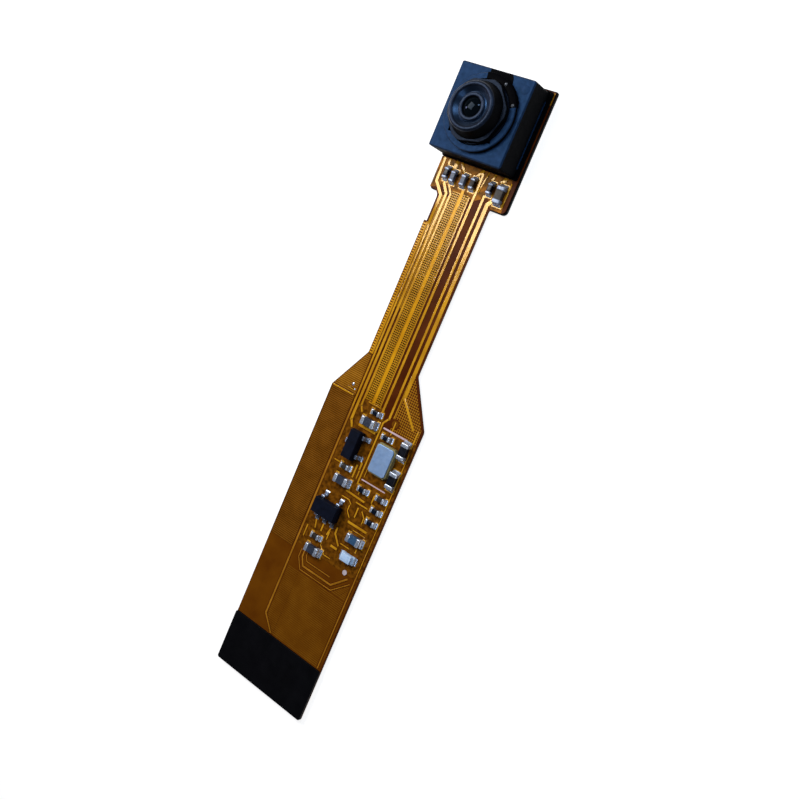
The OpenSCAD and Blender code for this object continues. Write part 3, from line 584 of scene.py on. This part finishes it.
def makeNeckTracks():
    bm = bmesh.new()
    x, w = zip(*ribbon["neckTracks"])
    top = yHead + 0.45
    lines = [
        ([(x[0], yWide - 2.2), (x[0], yHead + 0.05), (-2.85, rowY - 0.7)], w[0]),
        ([(x[1], yWide - 0.6), (x[1], yHead + 0.15), (-2.3, rowY - 0.6)], w[1]),
        ([(x[2], yWide + 0.1), (x[2], top), (x[2], top + 0.35)], w[2]),
        ([(x[3], yWide + 0.1), (x[3], top)], w[3]),
        ([(x[4], yWide - 0.5), (x[4], rowY + 1.2)], w[4]),
        ([(x[5], yWide - 0.5), (x[5], rowY - 0.6)], w[5]),
        ([(x[6], yWide + 2), (x[6], yHead + 0.4), (2.95, yHead + 1.0)], w[6]),
        ([(-1.05, yWide + 0.1), (0.5, yWide + 0.1)], 0.14),
        ([(-2.6, yStep - 0.1), (-2.6, yHead - 0.25), (-3.65, yHead + 0.85), (-3.75, rowY + 1.45)], 0.3),
    ]
    shortRuns = [  # from the chips to the sensor
        ([(-2.4, 0.55), (-2.2, 1.5)], 0.42),
        ([(-1.75, 1.5), (-1.15, 0.7)], 0.3),
        ([(0.25, 0.7), (0.8, 1.5)], 0.34),
        ([(2.95, 0.9), (3.3, 1.5)], 0.4),
        ([(-3.1, 0.7), (-3.1, 1.5)], 0.26),
        ([(1.9, 0.75), (2.1, 1.5)], 0.22),
        ([(1.05, -0.5), (1.35, 1.5)], 0.14),
        ([(3.95, -1.1), (3.95, 1.2)], 0.16),
    ]
    lines += [(shift(points, rowY), width) for points, width in shortRuns]
    for i, (points, width) in enumerate(lines):
        addTrack(bm, points, width, material=2 if i == ribbon["warmTrack"] else 0, gap=ribbon["neckGap"])
    weighNormals(finishPiece("neck_tracks", bm, ["copper", "film", "warmCopper"]))


def makeWideTracks():
    bm = bmesh.new()
    x = [place for place, width in ribbon["neckTracks"]]
    stub, longRun = yStub - yWide, ribbon["longRun"]
    driver = nodeCentre("driver_body")
    runs = [  # points from the line where the sides straighten, and width
        ([(longRun, yStep - yWide - 0.3), (longRun, -1)], 0.2),
        ([(longRun, stub + 1.5), (longRun, -1)], 0.2),
        ([(longRun, stub + 1.5), (-1.1, stub + 0.1)], 0.17),
        ([(x[0], -2.1), (x[0] + 0.4, -2.8)], 0.24),
        ([(x[1], -0.5), (-1.3, -1.05)], 0.2),
        ([(x[5], -0.4), (1.35, -1.0), (1.35, -7.3)], 0.18),
        ([(2.38, 2), (4.65, -0.3)], 0.24),
        ([(2.25, 4.1), (2.25, -0.2)], 0.1),
        ([(2.62, -0.4), (2.62, -1.7)], 0.16),
        ([(5.2, -0.2), (5.2, -1.9)], 0.14),
        ([(0.55, -5.7), (0.55, -7)], 0.2),
        ([(1.0, -6.1), (1.0, -6.9)], 0.14),
        ([(0.5, -8.35), (2.85, -8.45)], 0.2),
        ([(2.0, -8.85), (3.45, -8.85)], 0.14),
        ([(2.5, -9.2), (2.5, -10.2)], 0.16),
        ([(3.6, -7.4), (3.6, -8.2)], 0.16),
        ([(2, -10.85), (4.4, -10.85)], 0.24),
        ([(1.25, -11.9), (1.25, -12.5), (2.1, -13.4)], 0.2),
        ([(1.3, -13.75), (2.1, -13.75)], 0.24),
        ([(2.2, -13.05), (3.3, -13.05)], 0.12),
        ([(4.1, -12.7), (4.1, -13.1)], 0.16),
        ([(-1.15, -15.4), (-1.15, -16.2), (-0.7, -17), (3, -17), (4.45, -15.6)], 0.18),
        ([(-0.75, -15.4), (-0.75, -15.9), (-0.45, -16.4), (2.6, -16.4)], 0.1),
        ([(-1.55, -15.6), (-1.55, -16.4), (-0.85, -17.45), (3.2, -17.45), (4.9, -15.9)], 0.1),
        ([(5.25, -2.4), (5.25, -14.6)], 0.1),
        ([(5.25, -14.6), (5.25, stub + 0.1)], 0.14),
        ([(0.1 - wideX, 0), (-2.95, -0.02)], 0.17),
        ([(-3.9, 0.45), (-3.0, 0.4)], 0.1),
        ([(-1.1, -2.2), (1.0, -2.2)], 0.36),
        ([(0.45, -4.9), (0.95, -5.4), (0.95, -6.0)], 0.22),
        ([(0.1, -7.5), (0.7, -7.5), (0.9, -7.8)], 0.16),
        ([(1.5, -9.4), (1.5, -10.0), (2.0, -10.5)], 0.12),
        ([(3.0, -9.3), (3.5, -9.8), (3.5, -10.4)], 0.12),
        ([(1.9, -7.5), (1.9, -8.1)], 0.12),
        ([(0.3, -9.0), (1.2, -9.0), (1.6, -9.3)], 0.12),
        ([(2.9, -11.3), (4.4, -11.3)], 0.1),
        ([(-2.1, -6.3), (-1.2, -6.3)], 0.14),
        ([(-2.0, -13.2), (-2.0, -14.4)], 0.14),
        ([(0.6, -12.6), (0.6, -13.5)], 0.14),
        ([(0.2, -14.2), (1.0, -14.9), (1.8, -14.9)], 0.1),
        ([(3.4, -14.3), (4.4, -14.3)], 0.1),
        ([(1.75, -2.9), (1.75, -6.4)], 0.1),
    ]
    for side in (-0.95, 0, 0.95):  # the driver's three lower leads
        runs.append(([(driver.x + side, driver.y - 1.5 - yWide), (driver.x + side * 0.8, -13.1)], 0.18))
    for points, width in runs:
        # runs that start low take the darker line finish: painted shade
        addTrack(bm, shift(points, yWide), width, material=2 if points[0][1] < ribbon["darkerBelow"] else 0)
    for node in chipNodes:  # the copper lands that the chips are soldered to
        foot, turn, length, width, height = chipShape(node)
        half = width / 2 + chips["landSide"]
        for side in (-1, 1):
            near, far = sorted((side * (length / 2 - chips["landUnder"]),
                                side * (length / 2 + chips["reach"] + chips["landPast"])))
            addBlock(bm, (near, -half, 0), (far, half, chips["landHeight"]), turn, foot)
    weighNormals(finishPiece("wide_tracks", bm, ["copper", "film", "line"], ["copper_traces"]))


def makePlanes():
    # copper sheets that lie a little deeper than the tracks: the film is amber over them
    bm = bmesh.new()
    stub = yStub - yWide
    left, right, edge = 0.05 - wideX, wideX - 0.13, ribbon["blockEdge"]
    headTop, headRight = filmHigh.y - 0.1, nodeBox("head_plate")[1].x - 0.12
    neck = neckLeft + 0.05
    planes = [
        ("blockPlane", patch(left, edge, yWide - 15.9, yWide - 0.02)),
        ("plane", shift([(left, 0.02), (edge, 0.02), (edge, 4.3), (neck, 4.3)], yWide)),
        ("deepPlane", patch(neck, -2.9, yNeck, yStep - 0.05)),
        ("bandPlane", patch(-2.89, -2.5, yNeck, yStep - 0.05)),
        ("goldPlane", patch(-2.45, -1.55, yNeck + 5, yHead - 0.2)),
        ("deepPlane", shift([(left, -15.92), (left, stub), (-1.0, stub), (-2.65, stub + 1.6),
                             (-2.65, -15.92)], yWide)),
        ("fieldPlane", shift([(-2.4, -0.9), (-2.4, -15.3), (right, -15.3), (right, -1.3), (3.4, -1.3),
                              (1.6, -1.5), (0.95, 0.2), (-1.5, 0.2)], yWide)),
        ("deepPlane", shift([(-2.4, -15.32), (-2.4, stub + 1.6), (-0.9, stub), (-0.85, -17.6), (4.2, -17.6),
                             (right, -15.32)], yWide)),
        ("deepPlane", shift([(-0.83, -17.62), (-0.83, stub), (right, stub), (right, -15.4),
                             (4.25, -17.62)], yWide)),
        # the head's copper stops short of the ribbon's right edge, so the darker film shows there: painted
        # shade beside the holder
        ("headPlane", [(-4.1, yHead + 0.15), (-4.1, rowY + 1.5), (3.9, rowY + 1.5), (4.1, yHead + 0.12),
                       (2.9, yHead + 0.12), (2.2, rowY - 0.7), (1.05, yHead + 0.35), (-2.1, yHead + 0.35),
                       (-2.6, rowY - 0.7), (-3.3, yHead + 0.4)]),
        ("goldPlane", [(4.02, headTop - 1.1), (headRight, headTop - 1.1), (headRight, headTop),
                       (3.4, headTop), (3.4, headTop - 0.2)]),
    ]
    for left, right in ribbon["neckHatches"]:
        planes.append(("meshPlane", patch(left, right, yWide + 0.25, yHead + 0.4)))
    names = list(dict.fromkeys(["plane"] + [name for name, corners in planes]))
    for name, corners in planes:
        addPlane(bm, corners, names.index(name))
    x, y = ribbon["pad"]
    height = ribbon["padHeight"]
    addDisc(bm, (x, yWide + y, zTop + height / 2), ribbon["padRadius"], ribbon["padRadius"], height, 32)
    finishPiece("film_planes", bm, names)


def addHatch(bm, low, high, pitch, wire):
    # a copper mesh between two corners: square holes between fine wires
    count = [max(1, round((high[k] - low[k] - wire[k]) / pitch[k])) for k in (0, 1)]
    cells = [2 * c + 1 for c in count]
    grid = bmesh.ops.create_grid(bm, x_segments=cells[0], y_segments=cells[1], size=0.5)["verts"]
    faces = {f for v in grid for f in v.link_faces}
    holes = []
    for face in faces:
        spot = face.calc_center_median()
        if all(int((spot[k] + 0.5) * cells[k]) % 2 for k in (0, 1)):
            holes.append(face)
    for vert in grid:
        steps = [round((vert.co[k] + 0.5) * cells[k]) for k in (0, 1)]
        vert.co = (*(low[k] + (steps[k] // 2) * pitch[k] + (steps[k] % 2) * wire[k] for k in (0, 1)), zTop)
    bmesh.ops.delete(bm, geom=holes, context="FACES_ONLY")


def makeHatchedGround():
    # copper meshes that let the neck bend, and one in the right shoulder
    bm = bmesh.new()
    x, y = ribbon["shoulderCorner"]
    addHatch(bm, (x, yWide + y), (wideX - 0.4, yNeck + 0.1), ribbon["shoulderPitch"], ribbon["shoulderWire"])
    slope = Vector((yNeck - yWide, wideX - neckRight, 0)).normalized()
    cutAway(bm, Vector((wideX - ribbon["shoulderInset"], yWide, 0)), slope)
    x, y = ribbon["pad"]
    pad = Vector((x, yWide + y, zTop))
    covered = [f for f in bm.faces if (f.calc_center_median() - pad).length < ribbon["padClear"]]
    bmesh.ops.delete(bm, geom=covered, context="FACES_ONLY")
    for left, right in ribbon["neckHatches"]:
        addHatch(bm, (left, yWide + 0.25), (right, yHead + 0.45), ribbon["hatchPitch"], ribbon["hatchWire"])
    raiseFaces(bm, bm.faces, ribbon["meshHeight"])
    for face in bm.faces:  # the neck's meshes end left of x = 1
        face.material_index = int(face.calc_center_median().x > 1)
    finishPiece("hatched_ground", bm, ["hatch", "shoulderHatch"])


def makeGroundLines():
    # fine parallel ground lines in the ribbon's quiet fields, each between two sides
    bm = bmesh.new()
    finishNames = ["line", "blockLine", "faintLine", "hatch"]
    z0, z1 = zTop, zTop + ribbon["lineHeight"]

    def field(finish, yLow, yHigh, left, right, width=ribbon["lineWidth"], pitch=ribbon["linePitch"]):
        for i in range(int((yHigh - yLow) / pitch) + 1):
            y = yLow + i * pitch
            if right(y) - left(y) > 0.2:
                addBlock(bm, (left(y), y - width / 2, z0), (right(y), y + width / 2, z1),
                         material=finishNames.index(finish))

    slope = (wideX + neckLeft) / (yNeck - yWide)
    wall, edge, rim, fringe = 0.12 - wideX, ribbon["blockEdge"] - 0.05, wideX - 0.7, neckLeft + 0.06
    field("blockLine", yWide - 15.8, yWide - 0.2, lambda y: wall, lambda y: edge)
    field("line", yWide + 0.25, yNeck - 0.1, lambda y: wall + slope * (y - yWide), lambda y: edge, 0.09)
    field("hatch", yNeck + 0.1, yStep - 0.2, lambda y: fringe, lambda y: fringe + 0.3,
          ribbon["fringeWidth"], ribbon["fringePitch"])
    field("faintLine", yStub + 0.2, yWide - 17.6, lambda y: max(-2.25, -0.95 - (y - yStub) * 0.85),
          lambda y: rim, 0.08)
    field("faintLine", yWide - 17.45, yWide - 16.15, lambda y: 3.4 + (y - yWide + 17.45) * 1.1,
          lambda y: rim, 0.08)
    finishPiece("ground_lines", bm, finishNames)


marks = {
    "bars": [(-1.4, 0.17), (-6.68, 0.12)],  # place along the wide part, and width
    "barEnds": (1.6, 4.5),
    "barHeight": 0.024,
    "holes": [(-3.42, 0.9, 0.16), (-3.05, 0.5, 0.09), (3.85, -3.6, 0.1)],  # place and radius
    "holeHeight": 0.04,
}


def makeMarks():
    # two printed bars beside the crystal, and three plugged holes
    bm = bmesh.new()
    for y, width in marks["bars"]:
        addTrack(bm, [(x, yWide + y) for x in marks["barEnds"]], width, marks["barHeight"], gap=0)
    finishPiece("printed_bars", bm, ["ink"])
    bm = bmesh.new()
    height = marks["holeHeight"]
    for x, y, radius in marks["holes"]:
        addDisc(bm, (x, yWide + y, zTop + height / 2), radius, radius / 2, height, 24)
    finishPiece("plugged_holes", bm, ["solder"], sharp=80)


makePlanes()
makeNeckTracks()
makeWideTracks()
makeHatchedGround()
makeGroundLines()
makeMarks()
print("ribbon made")


def paintSideShade(bm, limit):
    # faces that don't look up take a darker, less glossy copy of the finish: painted shade on the sides
    bm.normal_update()
    for face in bm.faces:
        face.material_index = int(face.normal.z < limit)


holder = {"edge": 0.045, "edgeAngle": 40, "shadeLimit": 0.45}


def makeHolder():
    bm = copyNode("lens_holder")
    softenEdges(bm, holder["edge"], 2, holder["edgeAngle"])
    # the walls take painted shade
    paintSideShade(bm, holder["shadeLimit"])
    weighNormals(finishPiece("lens_holder_shell", bm, ["holder", "holderShadedSide"],
                             ["lens_holder"], outward=False))


darkPatch = {
    "start": 23, "end": 101,  # degrees about the optical axis
    "turn": 60, "spread": 0.07,  # past this it reaches further out, by so much for each degree
    "collarInner": 3.0, "collarOuter": 3.52, "foot": 3.62, "step": 0.03,
    "wander": 0.12, "innerWander": 0.03,
    "thick": 0.03, "depth": 0.06,
}
ejector = {"place": (3.3, 3.0), "radius": 0.42, "topRadius": 0.39, "height": 0.014, "proud": 0.005}


def makeDarkPatch():
    # a thin black sheet laid over the collar and out to the holder's edge, so that side of the holder's top
    # is dark
    s = darkPatch
    high = nodeBox("lens_holder")[1]
    collarZ, topZ = high.z, high.z - 0.4
    heights = (collarZ, collarZ, collarZ - 0.05, topZ + 0.04, topZ, topZ)
    bm = bmesh.new()
    grid = bmesh.ops.create_grid(bm, x_segments=26, y_segments=5, size=0.5)["verts"]
    for vert in grid:
        degrees = s["start"] + (s["end"] - s["start"]) * (vert.co.x + 0.5)
        row = round((vert.co.y + 0.5) * 5)
        angle = math.radians(degrees)
        edge = (high.y - 0.05) / math.sin(angle)
        reach = s["foot"] + s["step"]
        if degrees > s["turn"]:
            reach = min(edge, reach + (degrees - s["turn"]) * s["spread"])
        radius = (s["collarInner"], s["collarOuter"], s["foot"] - s["step"], s["foot"],
                  (s["foot"] + reach) / 2, reach)[row]
        if row in (0, 4, 5) and reach < edge:
            wander = s["wander"] if row else s["innerWander"]
            radius += noise.noise(Vector((degrees * 0.15, row, 0))) * wander
        vert.co = (radius * math.cos(angle), radius * math.sin(angle), heights[row] + s["thick"])
    raiseFaces(bm, bm.faces, -s["depth"])
    finishPiece("dark_patch", bm, ["blackFill"], sharp=60)
    # the faint round witness of an ejector pin
    bm = bmesh.new()
    addDisc(bm, (*ejector["place"], topZ + ejector["proud"]), ejector["radius"], ejector["topRadius"],
            ejector["height"], 48)
    finishPiece("ejector_mark", bm, ["holder"])


makeHolder()
makeDarkPatch()
makeSoftened("head_plate", "head_backing", "laminate", 0.03)
makeSoftened("contact_stiffener", "tongue_stiffener", "laminate", 0.03)
# a black bead along the holder's base
makeSoftened("holder_adhesive", "holder_bead", "blackFill", 0.06)
print("holder made")


barrelLow, barrelHigh = nodeBox("lens_barrel")
holderTop = nodeBox("lens_holder")[1].z
barrel = {
    "rimRadius": 2.28, "rimWidth": 0.56, "coneRadius": 2.6,
    "openingRadius": 0.9, "openingRound": 0.14, "ringWidth": 0.4, "ringRound": 0.16,
    "ringDrop": 0.2, "dishDrop": 0.42,
    "flangeRadius": 2.95, "flangeFlats": 2.76, "flangeTurn": 40, "flangeBase": holderTop + 0.1,
    "flangeHeight": 0.4,
    "threadRadius": 2.98, "threadDepth": 0.1, "threadTurns": 4, "threadTop": holderTop - 0.02,
    "bottom": barrelLow.z,
    "mouthRadius": 2.3, "mouthDepth": 1, "stepRadius": 1.8, "stepDepth": 1.9, "boreRadius": 1.35,
    "frontSeat": nodeBox("front_lens")[0].z + 0.77,
    # faces whose normals lie below these heights take the painted shade of the sides
    "shadeLimit": 0.5, "flangeShadeLimit": 0.35, "flangeEdge": 0.05,
}


def makeBarrel():
    b = barrel
    bm = bmesh.new()
    bottom, seat, zRim = b["bottom"], b["frontSeat"], barrelHigh.z
    zRing = zRim - b["ringDrop"]
    lip = b["rimWidth"] / 2
    ring = b["openingRadius"] + b["ringWidth"]
    root = b["threadRadius"] - b["threadDepth"]
    profile = [(b["mouthRadius"], bottom), (root, bottom)]
    pitch = (b["threadTop"] - bottom) / b["threadTurns"]
    for i in range(b["threadTurns"]):  # the thread, as close rings
        z = bottom + i * pitch
        profile += [(root, z + 0.02), (b["threadRadius"], z + pitch * 0.4),
                    (b["threadRadius"], z + pitch * 0.6)]
    profile += [(root, b["threadTop"]), (b["coneRadius"], b["threadTop"]),
                (b["coneRadius"], b["flangeBase"] + b["flangeHeight"])]
    # over the rim, then straight down the dish to the ring round the opening
    profile += arc((b["rimRadius"] - lip, zRim - lip), lip, 0, 180, 14)[:-4]
    inner = b["rimRadius"] - 2 * lip
    zDish, fall = zRim - lip * 0.4, b["dishDrop"] - lip * 0.4
    profile += [(inner + 0.06 - (inner - ring) * t, zDish - fall * t) for t in (0, 0.2, 0.4, 0.6, 0.8, 0.94)]
    r = b["ringRound"]
    profile += arc((ring - r, zRing - r), r, 0, 90, 5)
    r = b["openingRound"]
    profile += arc((b["openingRadius"] + r, zRing - r), r, 90, 180, 5)
    zStep, zMouth = bottom + b["stepDepth"], bottom + b["mouthDepth"]
    profile += [(b["openingRadius"], seat), (b["boreRadius"], seat), (b["boreRadius"], zStep),
                (b["stepRadius"], zStep), (b["stepRadius"], zMouth), (b["mouthRadius"], zMouth)]
    spinProfile(bm, profile, 144)
    bmesh.ops.recalc_face_normals(bm, faces=bm.faces)
    # the cone's sides take painted shade
    paintSideShade(bm, b["shadeLimit"])
    for face in bm.faces:  # the dish is smoother than the rest
        middle = face.calc_center_median()
        radius = math.hypot(middle.x, middle.y)
        if ring - 0.05 < radius < inner + 0.07 and middle.z > zRim - b["dishDrop"] - 0.05:
            face.material_index = 2
    finishPiece("lens_barrel_body", bm, ["barrel", "barrelShadedSide", "dish"], ["lens_barrel"],
                sharp=50)


def makeFlange():
    b = barrel
    bm = bmesh.new()
    addDisc(bm, (0, 0, b["flangeBase"] + b["flangeHeight"] / 2), b["flangeRadius"], b["flangeRadius"],
            b["flangeHeight"], 144)
    for i in range(6):
        angle = math.radians(b["flangeTurn"] + 60 * i)
        out = Vector((math.cos(angle), math.sin(angle), 0))
        cutAway(bm, out * b["flangeFlats"], out)
        bmesh.ops.holes_fill(bm, edges=[e for e in bm.edges if e.is_boundary])
    softenEdges(bm, b["flangeEdge"], 3)
    # the flange's sides take painted shade
    paintSideShade(bm, b["flangeShadeLimit"])
    weighNormals(finishPiece("grip_flange", bm, ["flangeTop", "barrelShadedSide"]))


frontLens = {
    "radius": 1.33, "shoulder": 0.73, "chamfer": 0.02,
    "domeRadius": 0.88, "domeCurve": 1.7,
    "hollowDepth": 0.36, "hollowCurve": 1.2,
}


def makeFrontLens():
    f = frontLens
    low, high = nodeBox("front_lens")
    bm = bmesh.new()
    edge = math.degrees(math.asin(f["domeRadius"] / f["domeCurve"]))
    profile = arc((0, low.z + f["hollowDepth"] - f["hollowCurve"]), f["hollowCurve"], 90, 46, 8)
    profile[0] = (0, low.z + f["hollowDepth"])
    profile += [(f["radius"], low.z), (f["radius"], low.z + f["shoulder"]),
                (f["domeRadius"], low.z + f["shoulder"] + f["chamfer"])]
    profile += arc((0, high.z - f["domeCurve"]), f["domeCurve"], 90 - edge, 90, 12)
    profile[-1] = (0, high.z)
    spinProfile(bm, profile, 96)
    finishPiece("front_element", bm, ["lens"], ["front_lens"], sharp=30)


makeBarrel()
makeFlange()
makeFrontLens()
print("lens made")


def makeChip(node):
    foot, turn, length, width, height = chipShape(node)
    bm = bmesh.new()
    p, cap = chips["proud"], length * chips["capShare"]
    body = addBlock(bm, (p - length / 2, p - width / 2, p), (length / 2 - p, width / 2 - p, height - p),
                    turn, foot)
    roundEdges(bm, {e for v in body for e in v.link_edges}, chips["edge"])
    for side in (-1, 1):
        near, far = sorted((side * length / 2, side * (length / 2 - cap)))
        before = set(bm.verts)
        block = addBlock(bm, (near, -width / 2, 0), (far, width / 2, height), turn, foot, 1)
        roundEdges(bm, {e for v in block for e in v.link_edges}, chips["round"], 4)
        for face in {f for v in set(bm.verts) - before for f in v.link_faces}:
            face.material_index = 1
    finish = chips["paint"].get(node, chipFinish[slotOf[node]])
    # the head row's metal ends take the darker tin: painted shade
    capFinish = "shadedHeadTin" if node.startswith("head_") else "tin"
    weighNormals(finishPiece(node + "_chip", bm, [finish, capFinish], [node]))


fillet = {
    # share of the reach outwards, or mm inwards, and share of the height
    "curve": [(-0.03, 0), (-0.03, 1), (0.12, 0.66), (0.45, 0.24), (1, 0.09), (1, 0)],
    "cuts": 3,
    "leadWidth": 0.52, "leadHeight": 0.15, "leadReach": 0.17,
    "lightHeight": 0.5,
}


def addFillet(bm, foot, turn, start, width, height, reach):
    # solder that climbs a metal end in a hollow curve: a cage for one smoothing
    rows = [(start + (x * reach if x > 0 else x), z * height) for x, z in fillet["curve"]]
    grown = [bm.verts.new((x, -width / 2, z)) for x, z in rows]
    current = [bm.faces.new(grown)]
    for i in range(fillet["cuts"]):
        made = bmesh.ops.extrude_face_region(bm, geom=current, use_keep_orig=(i == 0))["geom"]
        current = [g for g in made if isinstance(g, bmesh.types.BMFace)]
        newVerts = [g for g in made if isinstance(g, bmesh.types.BMVert)]
        bmesh.ops.translate(bm, vec=(0, width / fillet["cuts"], 0), verts=newVerts)
        grown += newVerts
    place = Matrix.Translation(foot) @ Matrix.Rotation(math.radians(turn), 4, "Z")
    bmesh.ops.transform(bm, matrix=place, verts=grown)


def makeSolder():
    bm = bmesh.new()
    for node in chipNodes + ["indicator_light"]:
        foot, turn, length, width, height = chipShape(node)
        if node in chipNodes:
            width, height = width + 2 * chips["side"], height * chips["climb"]
        else:
            height *= fillet["lightHeight"]
        for flip in (0, 180):
            addFillet(bm, foot, turn + flip, length / 2, width, height, chips["reach"])
    for node in leadNodes:
        body = nodeCentre(node.split("_lead_")[0] + "_body")
        low, high = nodeBox(node)
        middle, size = (low + high) / 2, high - low
        if node.startswith("regulator"):
            turn, length = (0 if middle.x > body.x else 180), size.x
        else:
            turn, length = (90 if middle.y > body.y else -90), size.y
        addFillet(bm, Vector((middle.x, middle.y, zTop)), turn, length / 2 - 0.02, fillet["leadWidth"],
                  fillet["leadHeight"], fillet["leadReach"])
    piece = finishPiece("solder_fillets", bm, ["solder"], ["solder_joints"], sharp=180)
    smooth = piece.modifiers.new("Smooth", "SUBSURF")
    smooth.levels = smooth.render_levels = 2


for node in chipNodes:
    makeChip(node)
makeSolder()
for node in ("regulator_body", "driver_body"):
    makeSoftened(node, node.replace("body", "package"), "moulding", 0.035)
for node in leadNodes:
    makeSoftened(node, node + "_bent", "lead", 0.03, 2, 25)
makeSoftened("crystal_base", "crystal_package", "crystalCeramic", 0.03)
# the crystal's lid carries the painted blue reflection
makeSoftened("crystal_lid", "crystal_cover", "lid", 0.05, 3)
makeSoftened("indicator_light", "light_chip", "resin", 0.03)
print("circuit made:", len(chipNodes), "chips")

# the plain nodes only need a finish
dressed = {
    "flex_circuit": "film", "contact_fingers": "gold", "thread_lock": "glue", "aperture_spacer": "spacer",
    "middle_lens": "deepLens", "spacer_ring": "spacer", "rear_lens": "deepLens", "lens_retainer": "spacer",
    "infrared_filter": "filter", "image_sensor": "silicon", "test_pad": "wornTin",
}
for node, finish in dressed.items():
    data = frame["nodes"][node].data
    data.materials.clear()
    data.materials.append(finishes[finish])
print("nodes dressed:", len(dressed))
